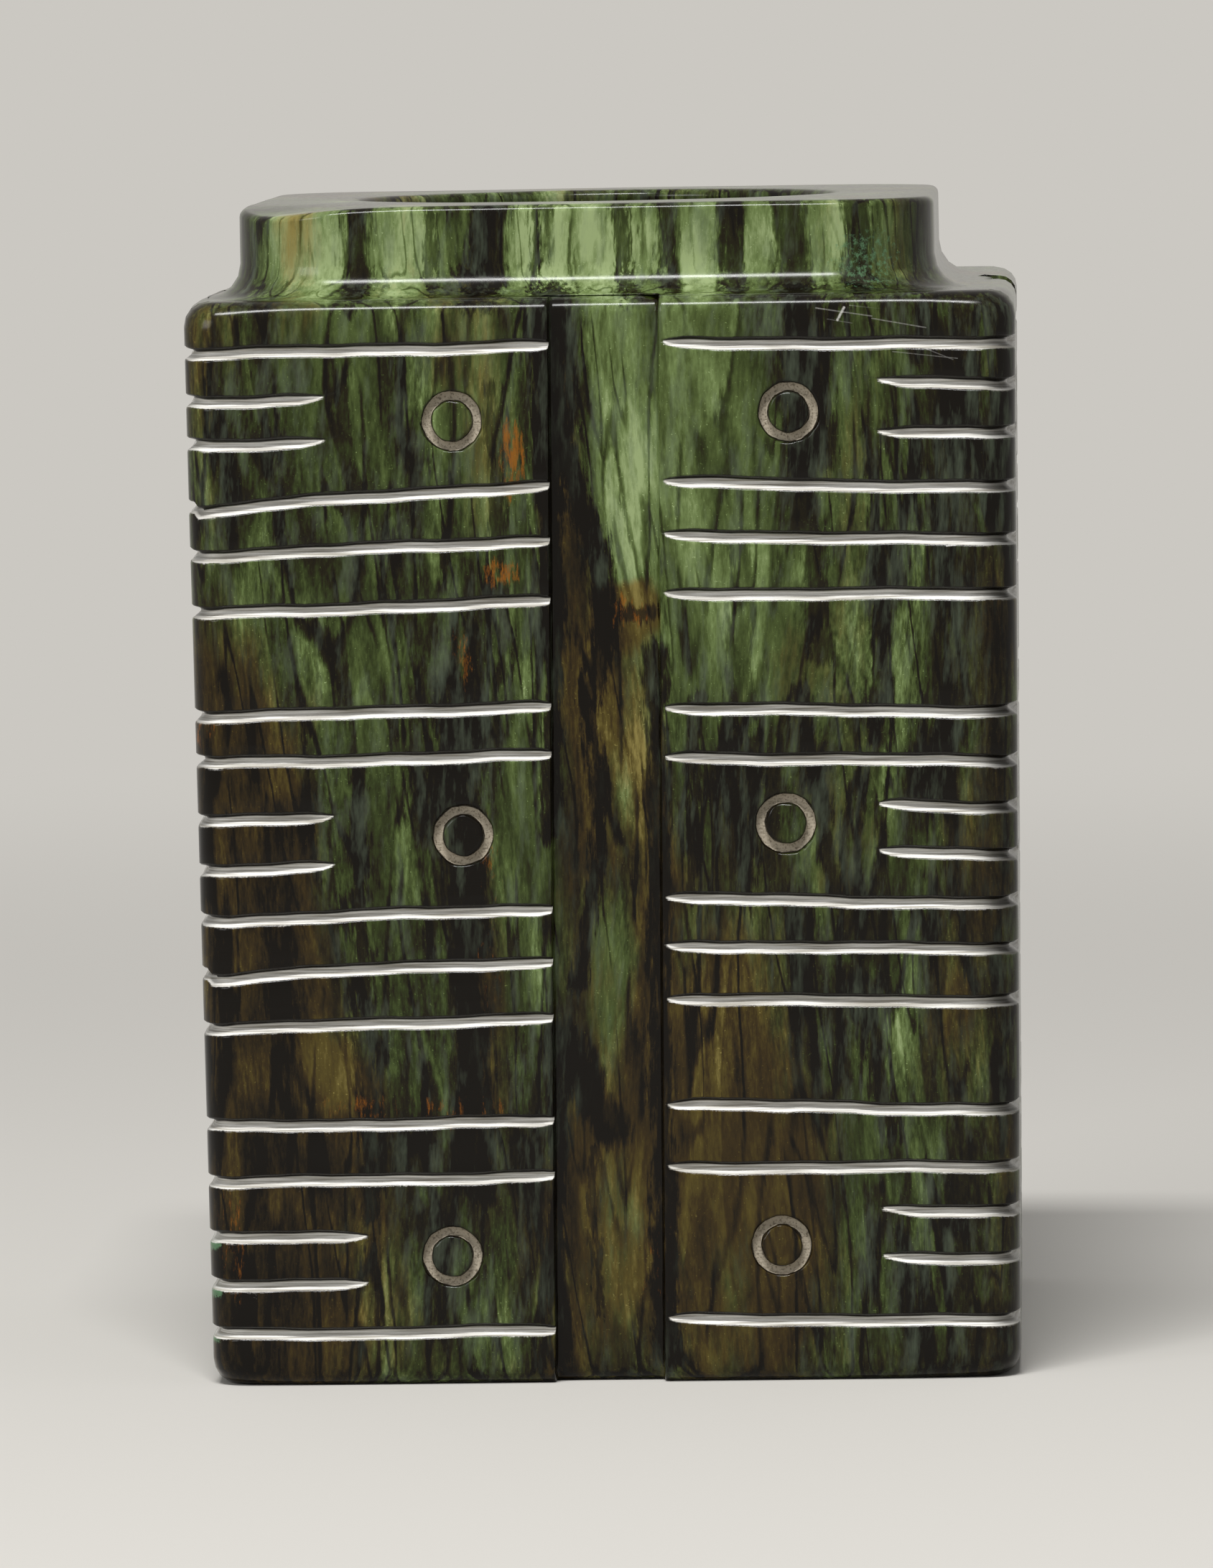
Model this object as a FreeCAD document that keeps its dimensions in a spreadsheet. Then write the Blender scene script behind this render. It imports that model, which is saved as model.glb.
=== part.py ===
"""A carved jade cong: a square tube of one piece of jade, with a round bore and a collar.

The block is wider at the shoulder than at the foot, and a flat channel runs down the middle of
each face. Each corner carries three tiers of a simplified mask: long grooves that wrap the corner
from channel to channel, short ones that stand for a nose bar, and a drilled ring for each eye.
The grooves were cut by hand, so the two corners of a face have their own heights, and every
groove dips a little towards its corner. The bore was drilled from both ends. The foot's
drilling is a little wider, which leaves a step where the two meet. Collar and bore stand a
little left of the block's middle.

The frame has +Z up and its origin in the middle of the foot. The front face looks along -Y, and
the left and right corners are those of the front face, each with its like across the block.
"""

import FreeCAD
import Part
import Sketcher

import os

V = FreeCAD.Vector

# Driving dimensions in millimetres and degrees: alias, value, meaning.
SIZES = (
    ("body_height", 98.3, "foot to shoulder"),
    ("shoulder_width", 75.0, "square body across the flats, at the shoulder"),
    ("foot_draw_in", 0.8, "how far each face comes in from shoulder to foot"),
    ("corner_radius", 3.2, "upright corners of the body"),
    ("body_edge_bevel", 1.0, "worn edge round the shoulder and round the foot"),
    ("collar_height", 8.2, "collar above the shoulder"),
    ("ledge_width", 5.8, "shoulder left bare beside the collar, on average"),
    ("collar_shift", 1.5, "how far collar and bore stand left of the middle, seen from the front"),
    ("collar_corner_radius", 11.0, "upright corners of the collar"),
    ("collar_root_bevel", 1.0, "hollow where the collar leaves the shoulder"),
    ("rim_bevel", 0.6, "worn outer edge of the rim"),
    ("rim_drilling_diameter", 44.0, "bore drilled down from the rim"),
    ("foot_drilling_diameter", 45.4, "bore drilled up from the foot, a little wider"),
    ("foot_drilling_depth", 52.0, "how far up from the foot the two drillings meet"),
    ("bore_mouth_bevel", 0.7, "worn edge of the bore at the rim and at the foot"),
    ("channel_width", 10.0, "flat channel down the middle of a face"),
    ("channel_depth", 1.4, "channel floor below the face"),
    ("channel_drift", 1.0, "how far the channel leans across the face, foot to shoulder"),
    ("groove_width", 1.15, "groove across its mouth"),
    ("groove_depth", 0.8, "groove below the face"),
    ("groove_run_out", 3.0, "length over which a groove rises out at each end"),
    ("long_groove_length", 32.0, "long groove from the corner along each face"),
    ("short_groove_length", 12.8, "short groove from the corner along each face"),
    ("left_groove_dip", 1.7, "degrees that the left corners' grooves dip to the corner"),
    ("right_groove_dip", 2.4, "degrees that the right corners' grooves dip to the corner"),
    ("eye_diameter", 5.5, "drilled ring, outside"),
    ("eye_core_diameter", 3.6, "core left standing in the ring"),
    ("eye_depth", 0.7, "ring below the face"),
    ("left_eye_gap", 8.6, "channel edge to the middle of a left corner's eye"),
    ("right_eye_gap", 11.2, "channel edge to the middle of a right corner's eye"),
    ("overrun", 1.0, "how far a cutter stands out of the stone"),
)

# Heights of the cuts as shares of body_height, from the lowest up, where each groove rounds
# its corner and where each eye has its middle.
LEFT_LONG_SHARES = (0.048, 0.189, 0.241, 0.332, 0.381, 0.431, 0.576, 0.619, 0.714, 0.768, 0.814, 0.952)
LEFT_SHORT_SHARES = (0.093, 0.138, 0.477, 0.524, 0.869, 0.908)
LEFT_EYE_SHARES = (0.119, 0.507, 0.888)
RIGHT_LONG_SHARES = (0.054, 0.196, 0.249, 0.349, 0.397, 0.439, 0.570, 0.615, 0.722, 0.772, 0.820, 0.951)
RIGHT_SHORT_SHARES = (0.111, 0.154, 0.482, 0.527, 0.869, 0.914)
RIGHT_EYE_SHARES = (0.126, 0.515, 0.891)

# Degrees, a count and a tolerance, which no size of the stone changes.
QUARTER_TURN = 90
FULL_TURN = 360
FACES = 4
NEAR = 1e-4

# Axes of a turn, as expressions.
UPRIGHT = "0; 0; 1"
ACROSS = "1; 0; 0"
ALONG_DIAGONAL = "1; 1; 0"
OVER_DIAGONAL = "1; -1; 0"

# What the sizes add up to, as expressions.
TOP = "(Sizes.body_height + Sizes.collar_height)"
FOOT_WIDTH = "(Sizes.shoulder_width - 2 * Sizes.foot_draw_in)"
COLLAR_WIDTH = "(Sizes.shoulder_width - 2 * Sizes.ledge_width)"
COLLAR_MIDDLE = "-Sizes.collar_shift"
FACE_LEAN = "atan(Sizes.foot_draw_in / Sizes.body_height)"
CORNER_LEAN = "atan(sqrt(2) * Sizes.foot_draw_in / Sizes.body_height)"

# A groove cutter's height from root to mouth, and how far past its end it clears the stone.
GROOVE_HEIGHT = "(Sizes.groove_depth + Sizes.overrun)"
GROOVE_CLEARANCE = "Sizes.groove_run_out * Sizes.overrun / Sizes.groove_depth"

# Where a groove's root turns off the face on to the bevel that rounds the corner: the bevel is
# the side of an octagon about a round whose radius is groove_depth less than the corner's.
BEVEL_START = "(Sizes.corner_radius - (Sizes.corner_radius - Sizes.groove_depth) * tan(22.5))"

doc = FreeCAD.newDocument("jade_cong")


def fill_sheet():
    """Puts the driving dimensions into a spreadsheet, each under its alias."""
    sheet = doc.addObject("Spreadsheet::Sheet", "Sizes")
    for row, (alias, value, meaning) in enumerate(SIZES, start=1):
        sheet.set(f"A{row}", alias)
        sheet.set(f"B{row}", str(value))
        sheet.set(f"C{row}", meaning)
        sheet.setAlias(f"B{row}", alias)
    doc.recompute()
    return sheet


sizes = fill_sheet()


def number(expression):
    """What an expression of sizes comes to."""
    return float(sizes.evalExpression(expression))


def placed(x="0", y="0", z="0", about=UPRIGHT, angle="0"):
    """A placement, as an expression."""
    return f"placement(vector({x}; {y}; {z}); rotation(vector({about}); {angle}))"


def origin_of(body, role):
    """One of a body's own base planes or axes."""
    return next(o for o in body.Origin.OriginFeatures if o.Role == role)


def new_sketch(body, name, plane, offset):
    """A sketch on a base plane of the body, offset from it by an expression."""
    sketch = body.newObject("Sketcher::SketchObject", name)
    sketch.AttachmentSupport = [(origin_of(body, plane), "")]
    sketch.MapMode = "FlatFace"
    sketch.setExpression("AttachmentOffset", offset)
    return sketch


def hold(sketch, kind, *places, at=None):
    """Adds a constraint, and binds it to an expression if it is a dimension."""
    if at is None:
        sketch.addConstraint(Sketcher.Constraint(kind, *places))
        return
    index = sketch.addConstraint(Sketcher.Constraint(kind, *places, number(at)))
    sketch.setExpression(f"Constraints[{index}]", at)


def closed_outline(sketch, points):
    """Straight lines from point to point, and back to the first."""
    count = len(points)
    for index in range(count):
        sketch.addGeometry(Part.LineSegment(points[index], points[(index + 1) % count]))
    for index in range(count):
        hold(sketch, "Coincident", index, 2, (index + 1) % count, 1)


def square(sketch, width):
    """A square about the sketch's origin."""
    half = number(width) / 2
    closed_outline(sketch, (V(-half, -half), V(half, -half), V(half, half), V(-half, half)))
    hold(sketch, "Horizontal", 0)
    hold(sketch, "Vertical", 1)
    hold(sketch, "Horizontal", 2)
    hold(sketch, "Vertical", 3)
    hold(sketch, "Symmetric", 0, 1, 2, 1, -1, 1)
    hold(sketch, "DistanceX", 0, 1, 0, 2, at=width)
    hold(sketch, "DistanceY", 1, 1, 1, 2, at=width)


def level_edges(feature, height, within, middle=0):
    """Names of the feature's edges that lie level at a height, inside a square about a middle."""
    names = []
    for index, edge in enumerate(feature.Shape.Edges, start=1):
        box = edge.BoundBox
        reach = max(middle - box.XMin, box.XMax - middle, -box.YMin, box.YMax)
        if box.ZMin > height - NEAR and box.ZMax < height + NEAR and reach < within / 2 + NEAR:
            names.append(f"Edge{index}")
    return names


def upright_edges(feature, low, high):
    """Names of the feature's edges that run up from one height to another."""
    return [
        f"Edge{index}"
        for index, edge in enumerate(feature.Shape.Edges, start=1)
        if abs(edge.BoundBox.ZMin - low) < NEAR and abs(edge.BoundBox.ZMax - high) < NEAR
    ]


def dressed(body, kind, name, feature, edges, size):
    """Rounds or bevels edges of the latest feature."""
    dressing = body.newObject(f"PartDesign::{kind}", name)
    dressing.Base = (feature, edges)
    dressing.setExpression("Radius" if kind == "Fillet" else "Size", size)
    doc.recompute()
    return dressing


def add_block(body):
    """The square block, drawn in towards the foot, its corners and edges worn."""
    height = number("Sizes.body_height")
    outline = new_sketch(body, "shoulder_outline", "XY_Plane", placed())
    square(outline, "Sizes.shoulder_width")
    pad = body.newObject("PartDesign::Pad", "square_block")
    pad.Profile = outline
    pad.setExpression("Length", "Sizes.body_height")
    doc.recompute()
    faces = [(f"Face{index}", face.BoundBox) for index, face in enumerate(pad.Shape.Faces, start=1)]
    draft = body.newObject("PartDesign::Draft", "drawn_in_block")
    draft.Base = (pad, [name for name, box in faces if box.ZLength > NEAR])
    draft.NeutralPlane = (pad, [name for name, box in faces if box.ZMin > height - NEAR])
    draft.setExpression("Angle", FACE_LEAN)
    draft.Reversed = True
    doc.recompute()
    uprights = upright_edges(draft, 0, height)
    corners = dressed(body, "Fillet", "worn_corners", draft, uprights, "Sizes.corner_radius")
    width = number("Sizes.shoulder_width")
    edges = level_edges(corners, 0, width) + level_edges(corners, height, width)
    dressed(body, "Chamfer", "worn_body_edges", corners, edges, "Sizes.body_edge_bevel")


def add_collar(body):
    """The rounded square collar, with a hollow root and a worn rim."""
    on_shoulder = placed(x=COLLAR_MIDDLE, z="Sizes.body_height")
    outline = new_sketch(body, "collar_outline", "XY_Plane", on_shoulder)
    square(outline, COLLAR_WIDTH)
    pad = body.newObject("PartDesign::Pad", "collar")
    pad.Profile = outline
    pad.setExpression("Length", "Sizes.collar_height")
    doc.recompute()
    shoulder = number("Sizes.body_height")
    width = number(COLLAR_WIDTH)
    middle = number(COLLAR_MIDDLE)
    uprights = upright_edges(pad, shoulder, number(TOP))
    corners = dressed(body, "Fillet", "collar_corners", pad, uprights, "Sizes.collar_corner_radius")
    root = level_edges(corners, shoulder, width, middle)
    hollow = dressed(body, "Chamfer", "collar_root", corners, root, "Sizes.collar_root_bevel")
    rim = level_edges(hollow, number(TOP), width, middle)
    dressed(body, "Chamfer", "worn_rim", hollow, rim, "Sizes.rim_bevel")


def drill_bore(body):
    """Two drillings on one axis, from the rim and from the foot, which meet in a step."""
    for source, upwards in (("rim", True), ("foot", False)):
        meeting = placed(x=COLLAR_MIDDLE, z="Sizes.foot_drilling_depth")
        diameter = f"Sizes.{source}_drilling_diameter"
        plan = new_sketch(body, f"{source}_drilling_plan", "XY_Plane", meeting)
        plan.addGeometry(Part.Circle(V(), V(0, 0, 1), number(diameter) / 2))
        hold(plan, "Coincident", 0, 3, -1, 1)
        hold(plan, "Diameter", 0, at=diameter)
        drilling = body.newObject("PartDesign::Pocket", f"{source}_drilling")
        drilling.Profile = plan
        drilling.Type = "ThroughAll"
        drilling.Reversed = upwards
        doc.recompute()
    middle = number(COLLAR_MIDDLE)
    mouths = level_edges(drilling, 0, number("Sizes.foot_drilling_diameter"), middle)
    mouths += level_edges(drilling, number(TOP), number("Sizes.rim_drilling_diameter"), middle)
    dressed(body, "Chamfer", "worn_bore_mouths", drilling, mouths, "Sizes.bore_mouth_bevel")


def out_from_face(standoff):
    """A plane in front of the leaning front face, as far out as standoff."""
    face = placed(z=f"{FOOT_WIDTH} / 2", about=ACROSS, angle=FACE_LEAN)
    return f"{face} * {placed(z=standoff)}"


def cut_channels(body):
    """The flat channel down the middle of each face, which leans a little across it."""
    outline = new_sketch(body, "channel_outline", "XZ_Plane", out_from_face("Sizes.overrun"))
    half = number("Sizes.channel_width") / 2
    drift = number("Sizes.channel_drift") / 2
    low = -number("Sizes.overrun")
    high = number("Sizes.body_height + Sizes.overrun")
    closed_outline(
        outline,
        (V(-half - drift, low), V(half - drift, low), V(half + drift, high), V(-half + drift, high)),
    )
    hold(outline, "Horizontal", 0)
    hold(outline, "Horizontal", 2)
    hold(outline, "DistanceX", 0, 1, 0, 2, at="Sizes.channel_width")
    hold(outline, "DistanceX", 2, 2, 2, 1, at="Sizes.channel_width")
    hold(outline, "DistanceX", 0, 1, -1, 1, at="(Sizes.channel_width + Sizes.channel_drift) / 2")
    hold(outline, "DistanceX", 3, 1, -1, 1, at="(Sizes.channel_width - Sizes.channel_drift) / 2")
    hold(outline, "DistanceY", 0, 1, -1, 1, at="Sizes.overrun")
    hold(outline, "DistanceY", -1, 1, 2, 1, at="Sizes.body_height + Sizes.overrun")
    channel = body.newObject("PartDesign::Pocket", "channel")
    channel.Profile = outline
    channel.setExpression("Length", "Sizes.channel_depth + Sizes.overrun")
    doc.recompute()
    channels = body.newObject("PartDesign::PolarPattern", "channels")
    channels.Originals = [channel]
    channels.Axis = (origin_of(body, "Z_Axis"), [""])
    channels.Angle = FULL_TURN
    channels.Occurrences = FACES
    body.Tip = channels
    doc.recompute()


def repeat(cutters, cutter, name, direction, shares, fold=None):
    """Repeats a cutter up its corner at the given heights, and on the corner across the block.

    With a fold, each one is also mirrored round its corner.
    """
    ladder = cutters.newObject("PartDesign::LinearPattern", f"{name}_up_the_corner")
    ladder.Direction = direction
    ladder.Mode = "Spacing"
    ladder.Occurrences = len(shares)
    rises = [f"Sizes.body_height * ({high} - {low})" for low, high in zip(shares, shares[1:])]
    ladder.setExpression("Spacings", f"list({'; '.join(rises)})")
    steps = [ladder]
    if fold:
        mirrored = cutters.newObject("PartDesign::Mirrored", f"{name}_round_the_corner")
        mirrored.MirrorPlane = (fold, [""])
        steps.append(mirrored)
    across = cutters.newObject("PartDesign::PolarPattern", f"{name}_across")
    across.Axis = (origin_of(cutters, "Z_Axis"), [""])
    across.Angle = FULL_TURN
    across.Occurrences = 2
    steps.append(across)
    series = cutters.newObject("PartDesign::MultiTransform", name)
    series.Originals = [cutter]
    series.Transformations = steps
    cutters.Tip = series
    doc.recompute()


def groove_path(cutters, name, offset, length):
    """The root of a groove round a corner, seen from above, its origin at the sharp corner.

    It runs straight along both faces, turns the corner on a bevel and rises out at each end.
    """
    out = number("Sizes.overrun")
    depth = number("Sizes.groove_depth")
    bevel = number(BEVEL_START)
    straight = f"{length} - Sizes.groove_run_out"
    clear = f"{length} + {GROOVE_CLEARANCE}"
    points = (
        V(number(clear), -out),
        V(number(straight), depth),
        V(bevel, depth),
        V(depth, bevel),
        V(depth, number(straight)),
        V(-out, number(clear)),
    )
    path = new_sketch(cutters, name, "XY_Plane", offset)
    for start, end in zip(points, points[1:]):
        path.addGeometry(Part.LineSegment(start, end))
    for line in range(1, len(points) - 1):
        hold(path, "Coincident", line - 1, 2, line, 1)
    hold(path, "Horizontal", 1)
    hold(path, "Vertical", 3)
    hold(path, "DistanceX", -1, 1, 0, 1, at=clear)
    hold(path, "DistanceY", 0, 1, -1, 1, at="Sizes.overrun")
    hold(path, "DistanceX", -1, 1, 1, 1, at=straight)
    hold(path, "DistanceY", -1, 1, 1, 1, at="Sizes.groove_depth")
    hold(path, "DistanceX", -1, 1, 1, 2, at=BEVEL_START)
    hold(path, "DistanceX", -1, 1, 3, 1, at="Sizes.groove_depth")
    hold(path, "DistanceY", -1, 1, 3, 1, at=BEVEL_START)
    hold(path, "DistanceY", -1, 1, 3, 2, at=straight)
    hold(path, "DistanceX", 4, 2, -1, 1, at="Sizes.overrun")
    hold(path, "DistanceY", -1, 1, 4, 2, at=clear)
    return path


def groove_section(cutters, name, offset):
    """The groove's V, its point at the root and its mouth standing out of the stone."""
    width = f"Sizes.groove_width * {GROOVE_HEIGHT} / Sizes.groove_depth"
    mouth = number(GROOVE_HEIGHT)
    half = number(width) / 2
    section = new_sketch(cutters, name, "XY_Plane", offset)
    closed_outline(section, (V(), V(half, -mouth), V(-half, -mouth)))
    hold(section, "Coincident", 0, 1, -1, 1)
    hold(section, "Symmetric", 1, 1, 1, 2, -2)
    hold(section, "DistanceY", 1, 1, -1, 1, at=GROOVE_HEIGHT)
    hold(section, "DistanceX", 1, 2, 1, 1, at=width)
    return section


def add_grooves(cutters, side, turn, kind, shares, up):
    """Cutters for one kind of groove, up one corner and the corner across from it."""
    name = f"{side}_{kind}_groove"
    lowest = shares[0]
    edge = f"-(Sizes.shoulder_width / 2 - Sizes.foot_draw_in * (1 - {lowest}))"
    height = f"Sizes.body_height * {lowest}"
    dipped = placed(edge, edge, height, OVER_DIAGONAL, f"Sizes.{side}_groove_dip")
    plane = f"{placed(angle=turn)} * {dipped}"
    length = f"Sizes.{kind}_groove_length"
    path_end = placed(f"{length} + {GROOVE_CLEARANCE}", "-Sizes.overrun")
    square_to_path = placed(angle="-atan(Sizes.groove_depth / Sizes.groove_run_out)")
    stood_up = placed(about="0; 1; 0", angle=QUARTER_TURN)
    cutter = cutters.newObject("PartDesign::AdditivePipe", name)
    cutter.Spine = groove_path(cutters, f"{name}_path", plane, length)
    cutter.Profile = groove_section(
        cutters, f"{name}_section", f"{plane} * {path_end} * {square_to_path} * {stood_up}"
    )
    cutter.Transition = "Right corner"
    doc.recompute()
    repeat(cutters, cutter, f"{name}s", up, shares)


def add_eyes(cutters, side, turn, shares):
    """Cutters for the drilled rings on both faces beside a corner, and across the block."""
    ring = new_sketch(cutters, f"{side}_eye_ring", "XZ_Plane", out_from_face("Sizes.overrun"))
    reach = f"Sizes.channel_width / 2 + Sizes.{side}_eye_gap"
    height = f"Sizes.body_height * {shares[0]}"
    towards = -1 if side == "left" else 1
    centre = V(towards * number(reach), number(height))
    for diameter in ("Sizes.eye_diameter", "Sizes.eye_core_diameter"):
        ring.addGeometry(Part.Circle(centre, V(0, 0, 1), number(diameter) / 2))
    hold(ring, "Coincident", 0, 3, 1, 3)
    hold(ring, "Diameter", 0, at="Sizes.eye_diameter")
    hold(ring, "Diameter", 1, at="Sizes.eye_core_diameter")
    ends = (0, 3, -1, 1) if side == "left" else (-1, 1, 0, 3)
    hold(ring, "DistanceX", *ends, at=reach)
    hold(ring, "DistanceY", -1, 1, 0, 3, at=height)
    drill = cutters.newObject("PartDesign::Pad", f"{side}_eye")
    drill.Profile = ring
    drill.setExpression("Length", "Sizes.eye_depth + Sizes.overrun")
    drill.Reversed = True
    fold = cutters.newObject("PartDesign::Plane", f"{side}_corner_fold")
    facing_along = placed(about=ALONG_DIAGONAL, angle=QUARTER_TURN)
    fold.setExpression("Placement", f"{placed(angle=turn)} * {facing_along}")
    doc.recompute()
    repeat(cutters, drill, f"{side}_eyes", (ring, ["V_Axis"]), shares, fold)


def mask_cutters():
    """One tool for all the corner carving: grooves and eyes, at the left and right corners."""
    cutters = doc.addObject("PartDesign::Body", "mask_cutters")
    cutters.AllowCompound = True
    for side, turn, long_shares, short_shares, eye_shares in (
        ("left", 0, LEFT_LONG_SHARES, LEFT_SHORT_SHARES, LEFT_EYE_SHARES),
        ("right", QUARTER_TURN, RIGHT_LONG_SHARES, RIGHT_SHORT_SHARES, RIGHT_EYE_SHARES),
    ):
        up = cutters.newObject("PartDesign::Line", f"{side}_corner_line")
        leaning_out = placed(about=OVER_DIAGONAL, angle=CORNER_LEAN)
        up.setExpression("Placement", f"{placed(angle=turn)} * {leaning_out}")
        add_grooves(cutters, side, turn, "long", long_shares, (up, [""]))
        add_grooves(cutters, side, turn, "short", short_shares, (up, [""]))
        add_eyes(cutters, side, turn, eye_shares)
    return cutters


def cong():
    """The whole vessel, one solid."""
    body = doc.addObject("PartDesign::Body", "jade_cong")
    body.Label = "jade_cong"
    add_block(body)
    add_collar(body)
    drill_bore(body)
    cut_channels(body)
    carving = body.newObject("PartDesign::Boolean", "carved_masks")
    carving.Type = "Cut"
    carving.setObjects([mask_cutters()])
    body.Tip = carving
    doc.recompute()
    return body


def check(body):
    """Stops the build if any feature failed, cut nothing, or left a bad shape."""
    for item in doc.Objects:
        if "Invalid" in item.State or "Error" in item.State:
            raise RuntimeError(f"{item.Label} failed: {item.State}")
    if body.Shape.isNull() or not body.Shape.isValid() or len(body.Shape.Solids) != 1:
        raise RuntimeError(f"{body.Label} isn't one valid solid")
    for before, after in (
        ("worn_rim", "rim_drilling"),
        ("rim_drilling", "foot_drilling"),
        ("worn_bore_mouths", "channel"),
        ("channel", "channels"),
        ("channels", "carved_masks"),
    ):
        if doc.getObject(after).Shape.Volume > doc.getObject(before).Shape.Volume - NEAR:
            raise RuntimeError(f"{after} cut nothing")


vessel = cong()
check(vessel)
os.makedirs("parts", exist_ok=True)
vessel.Shape.exportStep(f"parts/{vessel.Label}.step")
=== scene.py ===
"""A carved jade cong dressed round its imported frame: the stone, a plain stage and a camera.

Lengths are in metres, +Z is up, the foot stands on the floor and the front face looks along -Y.
"""

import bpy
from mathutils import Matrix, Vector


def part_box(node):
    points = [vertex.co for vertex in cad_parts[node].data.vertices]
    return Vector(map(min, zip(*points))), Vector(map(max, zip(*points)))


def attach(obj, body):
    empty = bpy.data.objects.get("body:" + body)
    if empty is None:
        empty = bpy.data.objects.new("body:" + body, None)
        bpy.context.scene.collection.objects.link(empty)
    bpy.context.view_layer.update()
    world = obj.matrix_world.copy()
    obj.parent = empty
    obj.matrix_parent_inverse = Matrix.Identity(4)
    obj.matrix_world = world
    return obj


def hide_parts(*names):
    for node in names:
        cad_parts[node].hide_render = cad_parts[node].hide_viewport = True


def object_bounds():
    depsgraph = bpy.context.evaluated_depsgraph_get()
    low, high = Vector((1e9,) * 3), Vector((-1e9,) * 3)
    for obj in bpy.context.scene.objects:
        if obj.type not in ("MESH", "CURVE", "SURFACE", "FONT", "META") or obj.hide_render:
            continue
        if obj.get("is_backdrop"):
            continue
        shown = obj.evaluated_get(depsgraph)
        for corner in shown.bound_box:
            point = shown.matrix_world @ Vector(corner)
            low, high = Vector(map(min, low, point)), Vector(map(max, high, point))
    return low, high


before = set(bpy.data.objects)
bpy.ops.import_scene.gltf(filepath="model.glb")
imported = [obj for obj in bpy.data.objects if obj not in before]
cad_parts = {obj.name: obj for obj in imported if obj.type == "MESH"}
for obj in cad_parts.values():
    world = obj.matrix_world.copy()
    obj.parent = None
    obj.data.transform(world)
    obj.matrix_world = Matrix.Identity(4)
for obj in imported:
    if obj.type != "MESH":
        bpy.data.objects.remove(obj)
FRAME_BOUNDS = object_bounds()
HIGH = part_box("jade_cong")[1]

from functools import partial
import math

import bpy
import numpy as np
from bpy.props import FloatProperty, FloatVectorProperty, IntProperty, PointerProperty
from bpy.types import Operator, Panel, PropertyGroup
from mathutils import Matrix, Vector

bl_info = {
    "name": "Jade Cong",
    "version": (1, 0, 0),
    "blender": (4, 5, 0),
    "location": "View3D > Sidebar > Cong",
    "description": "Carves a jade cong inside its packed frame and sets a plain stage for it",
    "category": "Add Mesh",
}

MM = 0.001
TURN = 2 * math.pi
QUARTER = math.pi / 2
FACES = 4

# From the foot up: L is a long groove, from channel to channel round the corner, and S a short one.
GROOVE_ORDER = "LSSLLLLLSSLLLLLSSL"
# The front face's grooves at its left corner and then at its right one, from the foot up: height
# at mid length in mm, degrees that it rises towards the channel, and mm that it sags at the corner.
FRONT_GROOVES = (
    (
        (4.83, 0.14, 0), (9.29, 1.15, 0), (13.58, -0.08, 0), (18.79, 0.52, 0), (23.85, 0.26, 0),
        (32.97, 1.29, 0), (37.95, 1.65, 0.5), (42.84, 1.4, 0), (47.13, 2.66, 0), (51.6, 0.96, 0),
        (56.92, 0.6, 0), (61.18, 1.11, 0), (70.63, 1.4, 0), (75.96, 1.96, 0), (80.62, 2.96, 0.5),
        (85.52, 1, 0), (89.4, 0.88, 0), (93.79, 0.66, 0),
    ),
    (
        (5.56, 0.92, 0), (11.12, 1.6, 0), (15.43, 2.58, 0), (19.43, 0.57, 0), (24.91, 1.6, 0),
        (34.57, 1.12, 0), (39.36, 1.27, 0), (43.58, 1.64, 0), (47.81, 3.83, 0), (52.02, 2.29, 0),
        (56.39, 1.42, 0), (60.81, 1.3, 0), (71.26, 0.83, 0), (76.33, 1.59, 0), (81.08, 1.73, 0),
        (85.68, 2.24, 0), (90.11, 2.22, 0), (93.77, 0.88, 0),
    ),
)
# Mid length of long and short grooves, in mm from the corner, and degrees that the unseen grooves
# rise at left corners and at right ones.
MEASURED_AT = {"L": 16.0, "S": 6.3}
DIPS = (1.7, 2.4)
# How a groove wavers: share of the whole waver, and length of the wave in mm.
WAVES = ((1.0, 27.0), (0.6, 11.0), (0.35, 4.7))
# Over how many mm from the corner a groove's line begins to rise, and how far a sag reaches.
LINE_EASE, SAG_LENGTH = 2.0, 5.0
# Height of a tier in mm, and how long its short grooves are beside the rest, from the foot up:
# at the left corner, and at the right one.
TIER = 33.0
SHORT_SHARES = ((1.17, 1.0, 0.98), (0.97, 1.01, 0.97))
# Shares of its depth and its width that a short groove has left at its end, how much wider than
# full it would be past it, and over how many mm it widens so.
SHORT_END = (0.0, 0.4)
PAST_END, WIDENING = 1.8, 5.0
# The same shares for long grooves, after the mm that they reach past the channel's edge and the
# most mm of their run-out: at left corners, and at right ones.
LONG_ENDS = ((0.3, 1.2, 0.45, 0.6), (-0.1, math.inf, 0.05, 0.45))
# Middles of the front's drilled eyes in mm, left and then right of its channel, from the foot up:
# distance from the middle of the face, and height.
FRONT_EYES = (
    ((14.57, 11.69), (12.91, 49.88), (13.27, 87.27)),
    ((15.21, 12.34), (16.16, 50.62), (16.96, 87.63)),
)
# How the unseen faces differ from the front: mm of eye place, degrees of dip, mm of height.
EYE_JITTER, DIP_JITTER, HEIGHT_JITTER = 0.5, 0.7, 0.15

# Rows of points across a groove, in half widths from its middle line, and how deep each is cut.
GROOVE_ROWS = (-1.25, -0.95, -0.5, -0.05, 0.25, 0.6, 0.85, 1.1)
GROOVE_CUTS = (0.0, 0.05, 0.5, 0.93, 1.0, 0.9, 0.2, 0.0)
OFF_GROOVE = 2.0
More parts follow.
